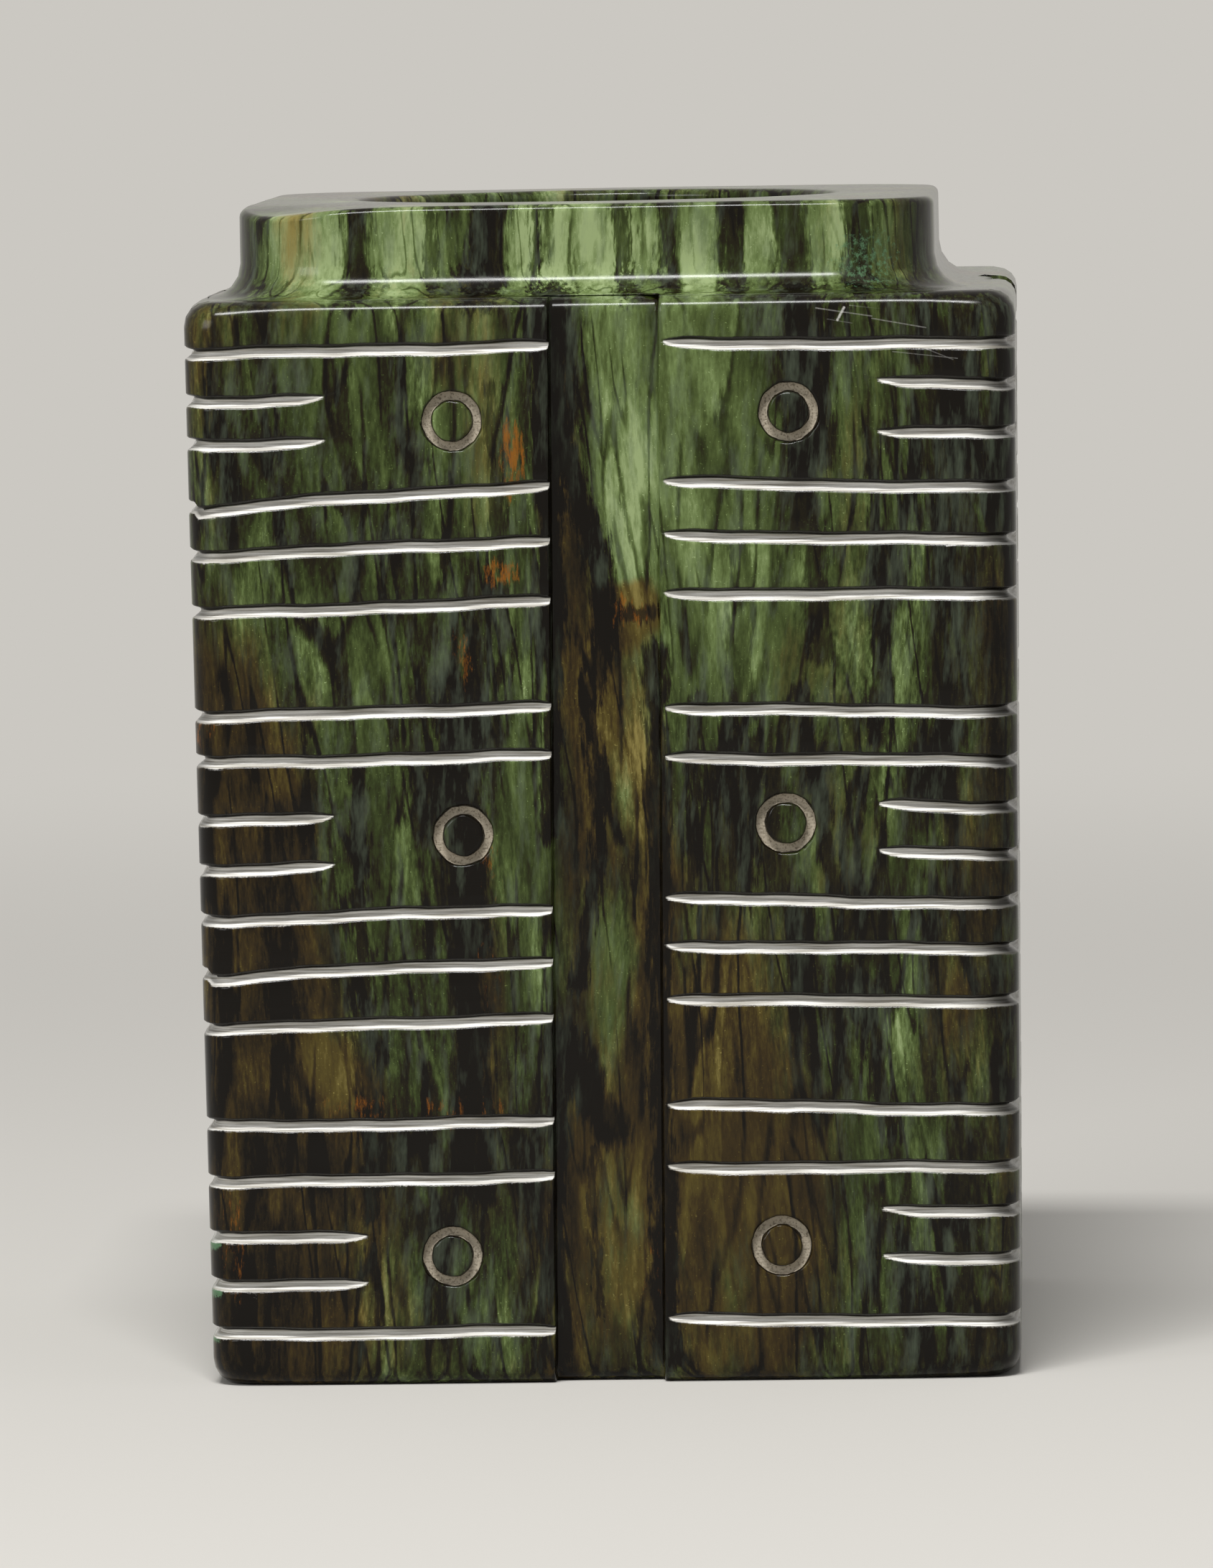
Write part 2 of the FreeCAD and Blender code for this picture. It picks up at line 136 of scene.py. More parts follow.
# Channel edge from the face in to the floor: mm past the edge, and share of the channel's depth.
CHANNEL_EDGE = ((-0.12, 0.02), (0.0, 0.12), (0.06, 0.55), (0.14, 0.92), (0.4, 1.0))
CHANNEL_LIP = 0.35
CHANNEL_FLOOR_POINTS = 5
# Columns of points from a corner to the channel: how many, and how far apart beside the rest.
COLUMN_STEPS = ((20, 1.2), (8, 0.62))
# A gap between grooves that is wider than this, in mm, takes four rows of points instead of two.
WIDE_GAP = 6.0
# The step where the two drillings of the bore meet: share of its width, and mm up.
BORE_STEP = ((0.1, 0.03), (0.35, 0.0), (0.8, 0.0), (1.0, -0.15))
# Up to this share of the worn edge's radius the foot isn't cut, so that it stands flat.
FLAT_FOOT = 0.6
# How far from a corner its extra wear reaches along the edge, in mm.
WEAR_LENGTH = 6.0
# Circles of points round an eye, in mm from its middle.
EYE_CIRCLES = (3.6, 3.15, 2.92, 2.77, 2.67, 2.58, 2.28, 1.98, 1.9, 1.81, 1.72, 1.45, 0.8)
EYE_BLOCK = 3.8
OFF_EYE = 9.0
# How far the edges of an eye ring wander, and how far its walls lean at the lip and at the floor,
# in mm.
RING_WOBBLE = 0.35
RING_LIP, RING_FLOOR = 0.06, 0.16
# Where the rim is worn down, in mm: middle across and out, and reach in each direction.
WORN_RIM = ((-34.0, -31.0), (8.0, 7.0))
LOWER_LIP = -0.95

# Soft clouds on the front, by what they change: the stone's colours, and painted shade at the
# corners.
# Each is in mm: its middle across, out and up, its half width and half height, and then its
# strength.
CLOUDS = {
    "paleness": (
        (8.5, -37, 80, 7, 24, 0.41), (16, -37, 68, 6, 9, 0.28), (21, -37, 84, 5, 14, 0.2),
        (1.6, -36, 87, 2.8, 14, 0.34), (2.4, -36, 76, 2.2, 8, 0.26), (-7, -37, 58, 3.5, 26, 0.18),
        (-19, -37, 62, 4.5, 22, 0.14), (-25.7, -37, 28.5, 3.2, 4.8, 0.42),
        (-0.2, -36, 37, 2.2, 8, 0.3), (0.5, -36, 54, 2.4, 6, 0.05), (0.8, -36, 13, 3.2, 12, 0.3),
        (-2.6, -36, 68, 2, 20, 0.12), (-2, -36, 30, 2.4, 26, 0.08), (21.5, -37, 50, 4.5, 9, 0.16),
        (9, -37, 48, 5, 9, 0.12), (10, -37, 19, 7, 20, 0.17), (20, -37, 16, 12, 14, 0.07),
        (-15, -37, 8, 4, 7, -0.1), (-22, -37, 91, 12, 8, 0.14), (-24, -37, 97, 11, 3.4, 0.1),
        (-12, -37, 82, 4, 12, 0.1), (-32, -37, 72, 6, 26, 0.08), (30, -37, 44, 7, 20, 0.06),
        # The five clouds at 103 mm up pale the collar: partly its milky green, partly painted
        # light.
        (-26.5, -31, 103, 4, 6, 0.58), (-17.5, -31, 103, 4.5, 6, 0.62), (-3, -31, 103, 8, 6, 0.58),
        (10, -31, 103, 7, 6, 0.5), (21, -31, 103, 7, 6, 0.48), (-28, -37, 22, 12, 4, -0.16),
        (-12, -37, 20, 6, 9, -0.12), (35, -37, 76, 5, 26, -0.1), (18, -37, 92, 3, 8, -0.1),
        (-17, -37, 92, 3, 8, -0.1), (33, -37, 12, 8, 14, -0.04), (33, -37, 46, 5, 48, -0.12),
        (-32, -37, 40, 7, 20, -0.08), (-24, -37, 23, 5, 8, -0.1), (-10.2, -37, 90, 1.8, 13, 0.26),
        (-13, -37, 50, 3, 16, -0.08), (-34, -37, 12, 6, 14, -0.04),
    ),
    "browning": (
        (-35, -37, 34, 8, 34, 0.34), (-30, -37, 14, 12, 14, 0.14), (11, -37, 20, 8, 24, 0.18),
        (0, -36, 14, 5, 18, 0.08), (0.6, -36, 57, 3.4, 11, 0.24), (1.2, -36, 36, 3, 12, 0.1),
        (-3.4, -36, 54, 3, 40, 0.2), (4.4, -36, 45, 2, 35, 0.2), (2.2, -36, 70, 2.6, 3, 0.4),
        (34, -37, 50, 6, 60, 0.03), (-9.5, -37, 75, 3, 14, 0.06), (-11, -37, 35, 3, 22, 0.12),
        (-25, -37, 27, 6, 4, 0.14), (24, -37, 66, 8, 8, 0.02), (22, -37, 30, 8, 30, -0.06),
        (8, -37, 82, 10, 24, -0.2), (1.8, -36, 88, 3, 14, -0.16), (-18, -37, 60, 7, 34, -0.2),
        (-7, -37, 55, 3, 26, -0.2), (20, -37, 40, 10, 16, -0.1), (-24, -37, 80, 7, 24, -0.16),
        (8, -31, 103, 24, 9, -0.2), (-27, -31, 103, 4, 9, 0.14),
    ),
    "rust": (
        (-7.9, -37, 84, 1.5, 5, 0.42), (-9.2, -37, 73.6, 2.4, 2, 0.42),
        (-12.6, -37, 66, 1.4, 4, 0.36), (-10.4, -37, 43, 1.6, 14, 0.26),
        (-34.5, -37, 13, 2, 8, 0.28), (-14, -37, 25, 9, 2, 0.28), (2.4, -36, 69.5, 2, 2.5, 0.36),
        (-36.5, -36, 60, 2, 3, 0.28), (3.4, -36, 12, 1.2, 10, 0.28),
        (-24, -37, 25.5, 4, 1.6, 0.28), (-4.2, -36, 45, 1.4, 20, 0.14),
    ),
    # Painted shade where the faces turn from the light at the upright corners: the grooves there
    # lose their white and darken.
    "dullness": (
        (37.8, -38, 50, 4.2, 60, 0.9), (-38.6, -38, 50, 2.6, 60, 0.7),
    ),
    "patina": (
        (24, -31, 101, 4.5, 4, 0.34), (-36.8, -36, 12.8, 1.4, 0.9, 0.6),
        (-36.8, -36, 8.5, 1.4, 0.9, 0.6), (-36.8, -36, 4.2, 1.4, 0.7, 0.5),
    ),
}
CLOUD_THICKNESS = 9.0
# Past this place, in mm towards the back, the stone is evenly as pale as the front is on average.
FRONT_ENDS, PALENESS_BEHIND = -30.0, 0.1
# Dark veins in the stone of the front, in mm: across and up of one end and of the other, place out,
# half width, and strength.
DARK_VEINS = (
    (-4.3, 98, -4.1, 84, -36, 1.7, 0.5), (-4.4, 84, -4.9, 50, -36, 1, 0.34),
    (-3.8, 84, -0.8, 77, -36, 1.1, 0.44), (-0.8, 77, 0.4, 70.5, -36, 1, 0.42),
    (0.4, 70.5, -1.2, 62, -36, 1, 0.36), (-1.2, 62, -0.6, 50, -36, 0.8, 0.3),
    (-0.6, 50, -2.6, 36, -36, 0.8, 0.28), (1, 69.6, 4.4, 69.4, -36, 0.7, 0.3),
    (4.6, 66, 4.7, 2, -36, 1, 0.3), (-4.2, 31, -0.2, 23, -36, 1.7, 0.36),
    (-2, 21, -1.4, 6, -36, 0.5, 0.2), (-4.9, 30, -4.9, 2, -36, 0.7, 0.2),
    (-13.2, 63, -12.6, 40, -37, 1.9, 0.2), (-12.6, 40, -12.2, 18, -37, 1.7, 0.24),
    (-9.4, 90, -9, 64, -37, 0.8, 0.2), (-22.4, 56, -22, 16, -37, 1, 0.24),
    (-30, 52, -29.5, 34, -37, 1.3, 0.14), (-17, 97, -16.6, 84, -37, 1.4, 0.14),
    (18.4, 97, 19.2, 84, -37, 1.9, 0.26), (18.2, 84, 19.6, 66, -37, 1.3, 0.2),
    (12.8, 76, 12, 60, -37, 1, 0.18), (8.4, 62, 7.6, 44, -37, 0.7, 0.2),
    (17.6, 62, 20.8, 44, -37, 1.1, 0.24), (13.6, 58, 12.8, 44, -37, 0.8, 0.18),
    (25.4, 76, 24.6, 58, -37, 1.1, 0.18), (29.6, 78, 29, 54, -37, 1.6, 0.18),
    (22.4, 36, 25.6, 22, -37, 1, 0.2), (-22, 98, -21.6, 107, -31.5, 1.3, 0.3),
    (-15, 98, -15.4, 107, -31.5, 0.6, 0.2), (-10.6, 98, -9.4, 107, -31.5, 1.7, 0.36),
    (-5.6, 98, -5.8, 107, -31.5, 0.5, 0.24), (2.6, 98, 2, 107, -31.5, 0.8, 0.3),
    (6.6, 98, 6, 107, -31.5, 0.8, 0.24), (12.2, 98, 12, 107, -31.5, 1.2, 0.32),
    (17.6, 98, 17, 107, -31.5, 1.6, 0.32), (23.6, 98, 23, 107, -31.5, 1.2, 0.28),
)
# Fine scratches by the right shoulder, fourth a painted glint, in the same order; here the strength
# is how white each is.
SCRATCHES_AND_GLINT = (
    (19.6, 96.9, 24.6, 96.1, -37, 0.08, 0.7), (22.6, 97.1, 27.2, 96.5, -37, 0.06, 0.6),
    (24.6, 95.9, 29.4, 95, -37, 0.08, 0.7), (22.1, 96.9, 21.5, 95.8, -37, 0.12, 1.2),
    (26.4, 92.9, 32.2, 92.2, -37, 0.07, 0.7), (29.4, 93.1, 31.8, 92.1, -37, 0.07, 0.6),
    (20.6, 95.9, 22.8, 95.5, -37, 0.07, 0.6), (31, 75.4, 33.4, 75.7, -37, 0.09, 1),
)
# How much a vein or a scratch reckons with distance across, into the stone and up, and how far
# the edges of a vein fray, in mm.
VEIN_THINNING = (1.0, 0.2, 1.0)
VEIN_FRAY = 0.7

# The stone's grain, from broad to fine: width and length in mm, and lean in degrees. Then come
# the shades that a field of lamellae is cut into, the detail of a field of bands, or a seam's half
# width as a share of its field, and last how much each counts. Nephrite's fibres are finer than
# any of these, and the finest bands are drawn as coarse as they need to show.
LAMELLAE = ((6.0, 40, 2, 5, 0.22), (3.2, 22, -5, 4, 0.16))
BANDS = ((9, 36, 3, 2, 1.0), (2.4, 12, -3, 3, 1.1), (0.25, 1.0, 1, 3, 0.55))
SEAMS = ((4.4, 42, 3, 0.034, 0.55), (2.6, 28, -5, 0.034, 0.45))
SEAM_LEVEL = 0.545
AVERAGE_TONE = 0.33
# Which colour the stone has at a tone from dark to light, where it is green and where it is brown.
GREEN_STOPS = (
    (0.0, "black"), (0.22, "pitch"), (0.42, "moss"), (0.62, "leaf"), (0.80, "sage"), (1.0, "pale"),
)
BROWN_STOPS = ((0.0, "black"), (0.22, "earth"), (0.45, "umber"), (0.70, "olive"), (1.0, "straw"))
# Tool marks in mm: the grit, drawn as coarse as it needs to show, and the strokes along a groove,
# by their length and spacing.
GRIT = 0.2
STROKES = (7, 7, 0.15)
# Gloss of the stone: below that of typical nephrite, because polished black stone mirrors a pale
# floor. Roughness of the polish where it is best and worst, and what a bruise adds to it.
GLOSS = {"IOR": 1.6, "Specular IOR Level": 0.14}
POLISH = (0.13, 0.22)
BRUISED = 0.3

# Settings that many nodes share.
SOFT = {"interpolation_type": "SMOOTHSTEP"}
COLOURED = {"out": 2, "data_type": "RGBA"}
# The carving tree's own inputs, each named for its setting in CongCarving.
CARVING_INPUTS = (
    "Groove Depth", "Ring Outside", "Ring Inside", "Ring Depth", "Unevenness", "Chip Depth", "Seed",
)
# Spots to the mm in the noise of a tool's jumps, of chips and of the faces' rolling.
TOOL_JUMPS, CHIPS, ROLLING = 0.9, 0.7, 0.055

# Lamps in metres: size across and up, and place; each is named for its power in StageSettings.
LAMPS = (
    ("key_lamp", (0.6, 0.2), (-0.1, -0.68, 1.25)), ("fill_lamp", (0.6, 0.6), (-1.1, -1.2, 0.8)),
)
LAMPS_AIM = (0, 0, 0.06)
# Where the floor passes from lit paper to its plain colour, in metres from the middle.
FLOOR_FADE = (0.15, 0.7)
FLOOR_SIDES = 64
# The camera fitted to the object's outline: how far round, down and over in degrees, place in mm
# before it is taken round, width of its picture in mm, and nearest and farthest view in metres.
VIEW_ANGLES = (2.421, 4.501, 0.972)
VIEW_SPOT = (-1.47, -978.91, 128.52)
SENSOR_WIDTH = 36.0
CLIPPING = (0.05, 100.0)


def metres(name, description, millimetres, low=0.0, high=500.0):
    """A length property whose default is given in millimetres."""
    return FloatProperty(
        name=name, description=description, default=millimetres * MM, min=low * MM, max=high * MM,
        unit="LENGTH", subtype="DISTANCE", precision=4,
    )


def strength(name, description, value, **unit):
    """A property for how strong a light is."""
    return FloatProperty(name=name, description=description, default=value, min=0.0, **unit)


def colour(name, description, code):
    """A colour property whose default is an sRGB hex value."""
    return FloatVectorProperty(
        name=name, description=description, default=linear(code), size=3, min=0.0, max=1.0,
        subtype="COLOR",
    )


def linear(code):
    """Linear red, green and blue of an sRGB hex value."""
    shares = [int(code[index:index + 2], 16) / 255 for index in (1, 3, 5)]
    return tuple(s / 12.92 if s <= 0.04045 else ((s + 0.055) / 1.055) ** 2.4 for s in shares)


class CongSizes(PropertyGroup):
    """Sizes of the uncut stone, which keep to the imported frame's."""

    body_height: metres("Body height", "Foot to shoulder", 98.3)
    foot_draw_in: metres("Foot draw-in", "How far each face comes in from shoulder to foot", 0.8)
    corner_radius: metres("Corner radius", "Upright corners of the body", 3.2)
    edge_radius: metres("Edge radius", "Worn edge round the shoulder and the foot", 1.6)
    corner_wear: metres("Corner wear", "How much more the edge is worn at the corners", 0.9)
    collar_ledge: metres("Collar ledge", "Shoulder left bare beside the collar, on average", 5.8)
    collar_shift: metres("Collar shift", "How far collar and bore stand left of the middle", 1.5)
    collar_corner: metres("Collar corner radius", "Upright corners of the collar", 10.0)
    collar_root: metres("Collar root radius", "Hollow where the collar leaves the shoulder", 3.0)
    rim_radius: metres("Rim radius", "Worn outer edge of the rim", 0.8)
    rim_wear: metres("Rim wear", "How far the rim is worn down at its front left corner", 1.2)
    rim_bore: metres("Rim bore radius", "Drilling from the rim", 22.0)
    foot_bore: metres("Foot bore radius", "Drilling from the foot", 22.7)
    bore_meeting: metres("Bore meeting height", "Where the two drillings meet", 52.0)
    mouth_radius: metres("Bore mouth radius", "Worn edge of the bore at rim and foot", 0.8)


class CongCarving(PropertyGroup):
    """Sizes of the carving."""

    channel_depth: metres("Channel depth", "Channel floor below the face", 1.4)
    channel_half_width: metres("Channel half width", "Middle of a face to the channel's edge", 4.96)
    channel_drift: metres("Channel drift", "How far a channel leans across its face", 1.0)
    groove_width: metres("Groove width", "Groove across its mouth", 1.25)
    groove_depth: metres("Groove depth", "Groove below the face", 0.85)
    groove_run_out: metres("Groove run-out", "Length over which a groove rises out at its end", 2.6)
    short_groove: metres("Short groove length", "Short groove from its corner", 12.7)
    groove_waver: metres("Groove waver", "How far the hand strayed from a straight line", 0.1)
    ring_outside: metres("Ring outer radius", "Drilled eye ring, outside", 2.75)
    ring_inside: metres("Ring inner radius", "Drilled eye ring, inside", 1.8)
    ring_depth: metres("Ring depth", "Eye ring below the face", 0.7)
    unevenness: metres("Unevenness", "How far the polished faces roll", 0.12)
    chip_depth: metres("Chip depth", "Small breaks along the lower lips of the grooves", 0.07)
    seed: IntProperty(name="Seed", description="Changes waver and chips", default=7, min=0, max=999)


class JadeColours(PropertyGroup):
    """Colours of the stone."""

    # Black also paints the shade in the grooves, on the ring walls and at the corners.
    black: colour("Black", "Darkest fibres", "#0A0602")
    pitch: colour("Pitch", "Dark fibres", "#1A1606")
    moss: colour("Moss", "Dark green", "#2B3414")
    leaf: colour("Leaf", "Middle green", "#455229")
    sage: colour("Sage", "Light green", "#647545")
    pale: colour("Pale", "Palest green", "#8E9E6E")
    earth: colour("Earth", "Darkest brown", "#201809")
    umber: colour("Umber", "Dark brown", "#34280F")
    olive: colour("Olive", "Yellow brown", "#4E431A")
    straw: colour("Straw", "Palest brown", "#80743F")
    milk: colour("Milk", "Milky veil", "#64705C")
    rust: colour("Rust", "Iron stains", "#8A5212")
    patina: colour("Patina", "Specks of turquoise green", "#5A7F5C")
    # Frost also paints the glint among the scratches.
    frost: colour("Frost", "White bruised stone in the grooves", "#F2F0EA")
    cut_shade: colour("Cut shade", "Greyer strokes in the grooves", "#A8A398")
    ring: colour("Ring", "Dusty stone in the eye rings", "#AAA08E")


class StageSettings(PropertyGroup):
    """Floor, lamps and camera."""

    floor_colour: colour("Floor", "Plain pale floor", "#CBC8C2")
    floor_radius: metres("Floor radius", "Radius of the floor", 20000.0, high=50000.0)
    key_lamp: strength("Key lamp", "Power of the lamp above", 19.0, unit="POWER")
    fill_lamp: strength("Fill lamp", "Power of the lamp at the side", 7.0, unit="POWER")
    world_strength: strength("World", "Strength of the even light", 0.25)
    focal_length: metres("Focal length", "Camera's focal length", 241.07)


def slope(degrees):
    """Rise over run."""
    return math.tan(math.radians(degrees))


def groove_lines(carving, draws):
    """Height at the corner, rise on each side and sag of every groove, corner by corner.

    Corner 0 is the front face's left one and corner 1 its right one; 2 and 3 are their likes
    across the block. Side 0 is the face before the corner and side 1 the one after it.
    """
    lines = []
    for corner in range(FACES):
        front_side = {0: 1, 1: 0}.get(corner)
        dip = DIPS[corner % 2]
        for kind, (height, rise, sag) in zip(GROOVE_ORDER, FRONT_GROOVES[corner % 2]):
            at_corner = (height - slope(rise) * MEASURED_AT[kind]) * MM
            if front_side is None:
                at_corner += draws.uniform(-HEIGHT_JITTER, HEIGHT_JITTER) * MM
            rises = [slope(dip + draws.uniform(-DIP_JITTER, DIP_JITTER)) for _ in range(2)]
            sags = [0.0, 0.0]
            if front_side is not None:
                rises[front_side] = slope(rise)
                sags[front_side] = sag * MM
            waver = carving.groove_waver
            waves = [
                (waver * share * draws.uniform(0.5, 1.0), length * MM, draws.uniform(0, TURN))
                for share, length in WAVES
            ]
            lines.append((corner, kind, at_corner, rises, sags, waves))
    return lines


def line_height(line, side, along):
    """Height of a groove's middle line at distances from its corner along one side."""
    _, _, at_corner, rises, sags, waves = line
    signed = along if side else -along
    ease = LINE_EASE * MM
    height = at_corner + rises[side] * (np.hypot(along, ease) - ease)
    height = height - sags[side] * np.exp(-(along / (SAG_LENGTH * MM)) ** 2)
    for size, length, phase in waves:
        height = height + size * np.sin(TURN * signed / length + phase)
    return height


def smooth(value):
    """Eases a share from 0 to 1."""
    value = np.clip(value, 0.0, 1.0)
    return value * value * (3 - 2 * value)


def groove_fading(carving, line, along, reach):
    """Share of full depth, and of full width, that a groove has at distances from its corner."""
    corner, kind, at_corner, *_ = line
    run_out = carving.groove_run_out
    if kind == "S":
        end = carving.short_groove * SHORT_SHARES[corner % 2][int(at_corner / (TIER * MM))]
        depth_left, width_left = SHORT_END
    else:
        past, longest, depth_left, width_left = LONG_ENDS[corner % 2]
        end, run_out = reach + past * MM, min(run_out, longest * MM)
    share = np.clip((end - along) / run_out, 0.0, 1.0)
    depth = depth_left + (1 - depth_left) * (1 - (1 - share) ** 2)
    width = width_left + (1 - width_left) * np.sqrt(share)
    if kind == "S":
        width = width + PAST_END * smooth((along - end) / (WIDENING * MM))
    return depth, width


def turned(across, out, faces):
    """World x and y of places across and out from faces, which are given by number."""
    cos, sin = np.round(np.cos(faces * QUARTER)), np.round(np.sin(faces * QUARTER))
    return np.stack([across * cos + out * sin, across * sin - out * cos], axis=-1)


def half_columns():
    """Columns from a corner's middle to the channel's lip: (corner angle, share of the run)."""
    arc = [(math.radians(angle), 0.0) for angle in (45.0, 33.75, 22.5, 11.25)]
    steps = np.concatenate([np.full(*step) for step in COLUMN_STEPS])
    shares = np.concatenate([[0.0], np.cumsum(steps)]) / steps.sum()
    return arc + [(0.0, share) for share in shares]


class Outline:
    """The body's cross-section as columns, which all levels of the stone share."""

    def __init__(self, sizes, carving):
        self.sizes = sizes
        self.carving = carving
        self.half_top = HIGH[0]
        half = half_columns()
        edge = [(past * MM, sink) for past, sink in CHANNEL_EDGE]
        steps = CHANNEL_FLOOR_POINTS + 1
        columns = [
            *(("start", angle, share, 0.0) for angle, share in half),
            *(("left", 0.0, past, sink) for past, sink in edge),
            *(("floor", 0.0, step / steps, 1.0) for step in range(1, steps)),
            *(("right", 0.0, past, sink) for past, sink in reversed(edge)),
            *(("end", angle, share, 0.0) for angle, share in reversed(half[1:])),
        ]
        self.per_face = len(columns)
        self.kinds, self.angles, self.shares, self.sinks = (
            np.array(values * FACES) for values in zip(*columns)
        )
        self.faces = np.repeat(np.arange(FACES), self.per_face)
        self.count = len(self.faces)
        _, across, out = self.place(np.full(self.count, sizes.body_height), 0.0, sunk=False)
        self.turns = (self.faces - 1) * QUARTER + np.arctan2(across, out)
        from_corner = out - np.abs(across)
        worn = np.where(self.angles > 0, 1.0, np.exp(-(from_corner / (WEAR_LENGTH * MM)) ** 2))
        self.edges = sizes.edge_radius + sizes.corner_wear * worn

    def half_width(self, height):
        """Middle of the block to a face."""
        share = np.clip(height / self.sizes.body_height, 0.0, 1.0)
        return self.half_top - self.sizes.foot_draw_in * (1 - share)

    def channel_edges(self, height):
        """Left and right edge of the channel on every face."""
        drift = self.carving.channel_drift * (height / self.sizes.body_height - 0.5)
        return drift - self.carving.channel_half_width, drift + self.carving.channel_half_width

    def place(self, height, inset, sunk=True):
        """World places of the columns at heights, and places across and out from each face."""
        half = self.half_width(height)
        left, right = self.channel_edges(height)
        radius = self.sizes.corner_radius
        straight = half - radius
        slant = CHANNEL_EDGE[-1][0] * MM
        kinds, shares = self.kinds, self.shares
        across = np.select(
            [kinds == "start", kinds == "left", kinds == "floor", kinds == "right"],
            [
                -straight + shares * (left - CHANNEL_LIP * MM + straight),
                left + shares,
                left + slant + shares * (right - left - 2 * slant),
                right - shares,
            ],
            straight - shares * (straight - right - CHANNEL_LIP * MM),
        )
        bend = (radius - inset) * np.sin(self.angles)
        across = across + np.where(kinds == "start", -bend, np.where(kinds == "end", bend, 0.0))
        out = straight + (radius - inset) * np.cos(self.angles)
        if sunk:
            out = out - self.sinks * self.carving.channel_depth
        return turned(across, out, self.faces), across, out

    def inward(self):
        """Unit vectors into the stone, level, for the columns of the body's sides."""
        sign = np.where(self.kinds == "start", -1.0, np.where(self.kinds == "end", 1.0, 0.0))
        level = -turned(sign * np.sin(self.angles), np.cos(self.angles), self.faces)
        return np.concatenate([level, np.zeros((self.count, 1))], axis=-1)

    def circle(self, radius):
        """A round of the given radius about the bore, on the columns' turns."""
        return self.about_bore(np.full(self.count, radius))

    def about_bore(self, reach):
        """Places at distances from the bore's middle, on the columns' turns."""
        level = reach[:, None] * np.stack([np.cos(self.turns), np.sin(self.turns)], axis=-1)
        return level - (self.sizes.collar_shift, 0.0)

    def rounded_square(self, half, corner):
        """A rounded square, on the columns' turns."""
        local = np.abs((self.turns + math.pi / 4) % QUARTER - math.pi / 4)
        centre = half - corner
        flat = half / np.cos(local)
        along = centre * (np.cos(local) + np.sin(local))
        arc = along + np.sqrt(np.maximum(corner ** 2 - 2 * centre ** 2 + along ** 2, 0.0))
        return self.about_bore(np.where(np.tan(local) * half <= centre, flat, arc))


def side_levels(outline, lines):
    """Heights of the points up the body's sides, with each point's place across a groove.

    Returns heights, places across and depth shares.
    """
    sizes, carving = outline.sizes, outline.carving
    count, per_face = outline.count, outline.per_face
    half = len(half_columns())
    radius = sizes.corner_radius
    reach = outline.half_top - carving.channel_half_width
    arc_share = 1 - outline.angles / (math.pi / 4)
    straight = radius + outline.shares * (reach - radius)
    along = np.where(outline.angles > 0, radius * arc_share, straight)
    groove_rows = []
    for index in range(len(GROOVE_ORDER)):
        middle = np.zeros(count)
        depth = np.zeros(count)
        width = np.zeros(count)
        for face in range(FACES):
            first = face * per_face
            start = slice(first, first + half)
            end = slice(first + per_face - half + 1, first + per_face)
            for corner, side, columns in ((face, 1, start), ((face + 1) % FACES, 0, end)):
                line = lines[corner * len(GROOVE_ORDER) + index]
                middle[columns] = line_height(line, side, along[columns])
                depth[columns], width[columns] = groove_fading(carving, line, along[columns], reach)
            channel = slice(first + half, first + per_face - half + 1)
            left, right = middle[first + half - 1], middle[first + per_face - half + 1]
            share = smooth(np.linspace(0, 1, channel.stop - channel.start))
            middle[channel] = left + share * (right - left)
            fade_left, fade_right = depth[first + half - 1], depth[first + per_face - half + 1]
            depth[channel] = np.where(share < 0.5, fade_left, fade_right)
            wide_left, wide_right = width[first + half - 1], width[first + per_face - half + 1]
            width[channel] = wide_left + share * (wide_right - wide_left)
        half_width = width * carving.groove_width / 2
        groove_rows.append([(middle + row * half_width, row, depth) for row in GROOVE_ROWS])
    flat = np.zeros(count)
    bottom = [(outline.edges, OFF_GROOVE, flat)]
    top = [(sizes.body_height - outline.edges, OFF_GROOVE, flat)]
    rows = list(bottom)
    for group in groove_rows + [top]:
        below, above = rows[-1][0], group[0][0]
        gaps = 4 if np.mean(above - below) > WIDE_GAP * MM else 2
        for gap in range(1, gaps + 1):
            rows.append((below + (above - below) * gap / (gaps + 1), OFF_GROOVE, flat))
        rows.extend(group)
    heights = np.array([row[0] for row in rows])
    across = np.array([np.full(count, row[1]) for row in rows])
    depths = np.array([row[2] for row in rows])
    return heights, across, depths


def rounded(start, end, steps):
    """Angles in radians after start, up to and with end, both given in degrees."""
    return [math.radians(start + (end - start) * (step + 1) / steps) for step in range(steps)]


def between(start, end, steps):
    """Shares strictly between two rings, as pairs to mix them by."""
    for step in range(1, steps + 1):
        share = step / (steps + 1)
        yield start * (1 - share) + end * share


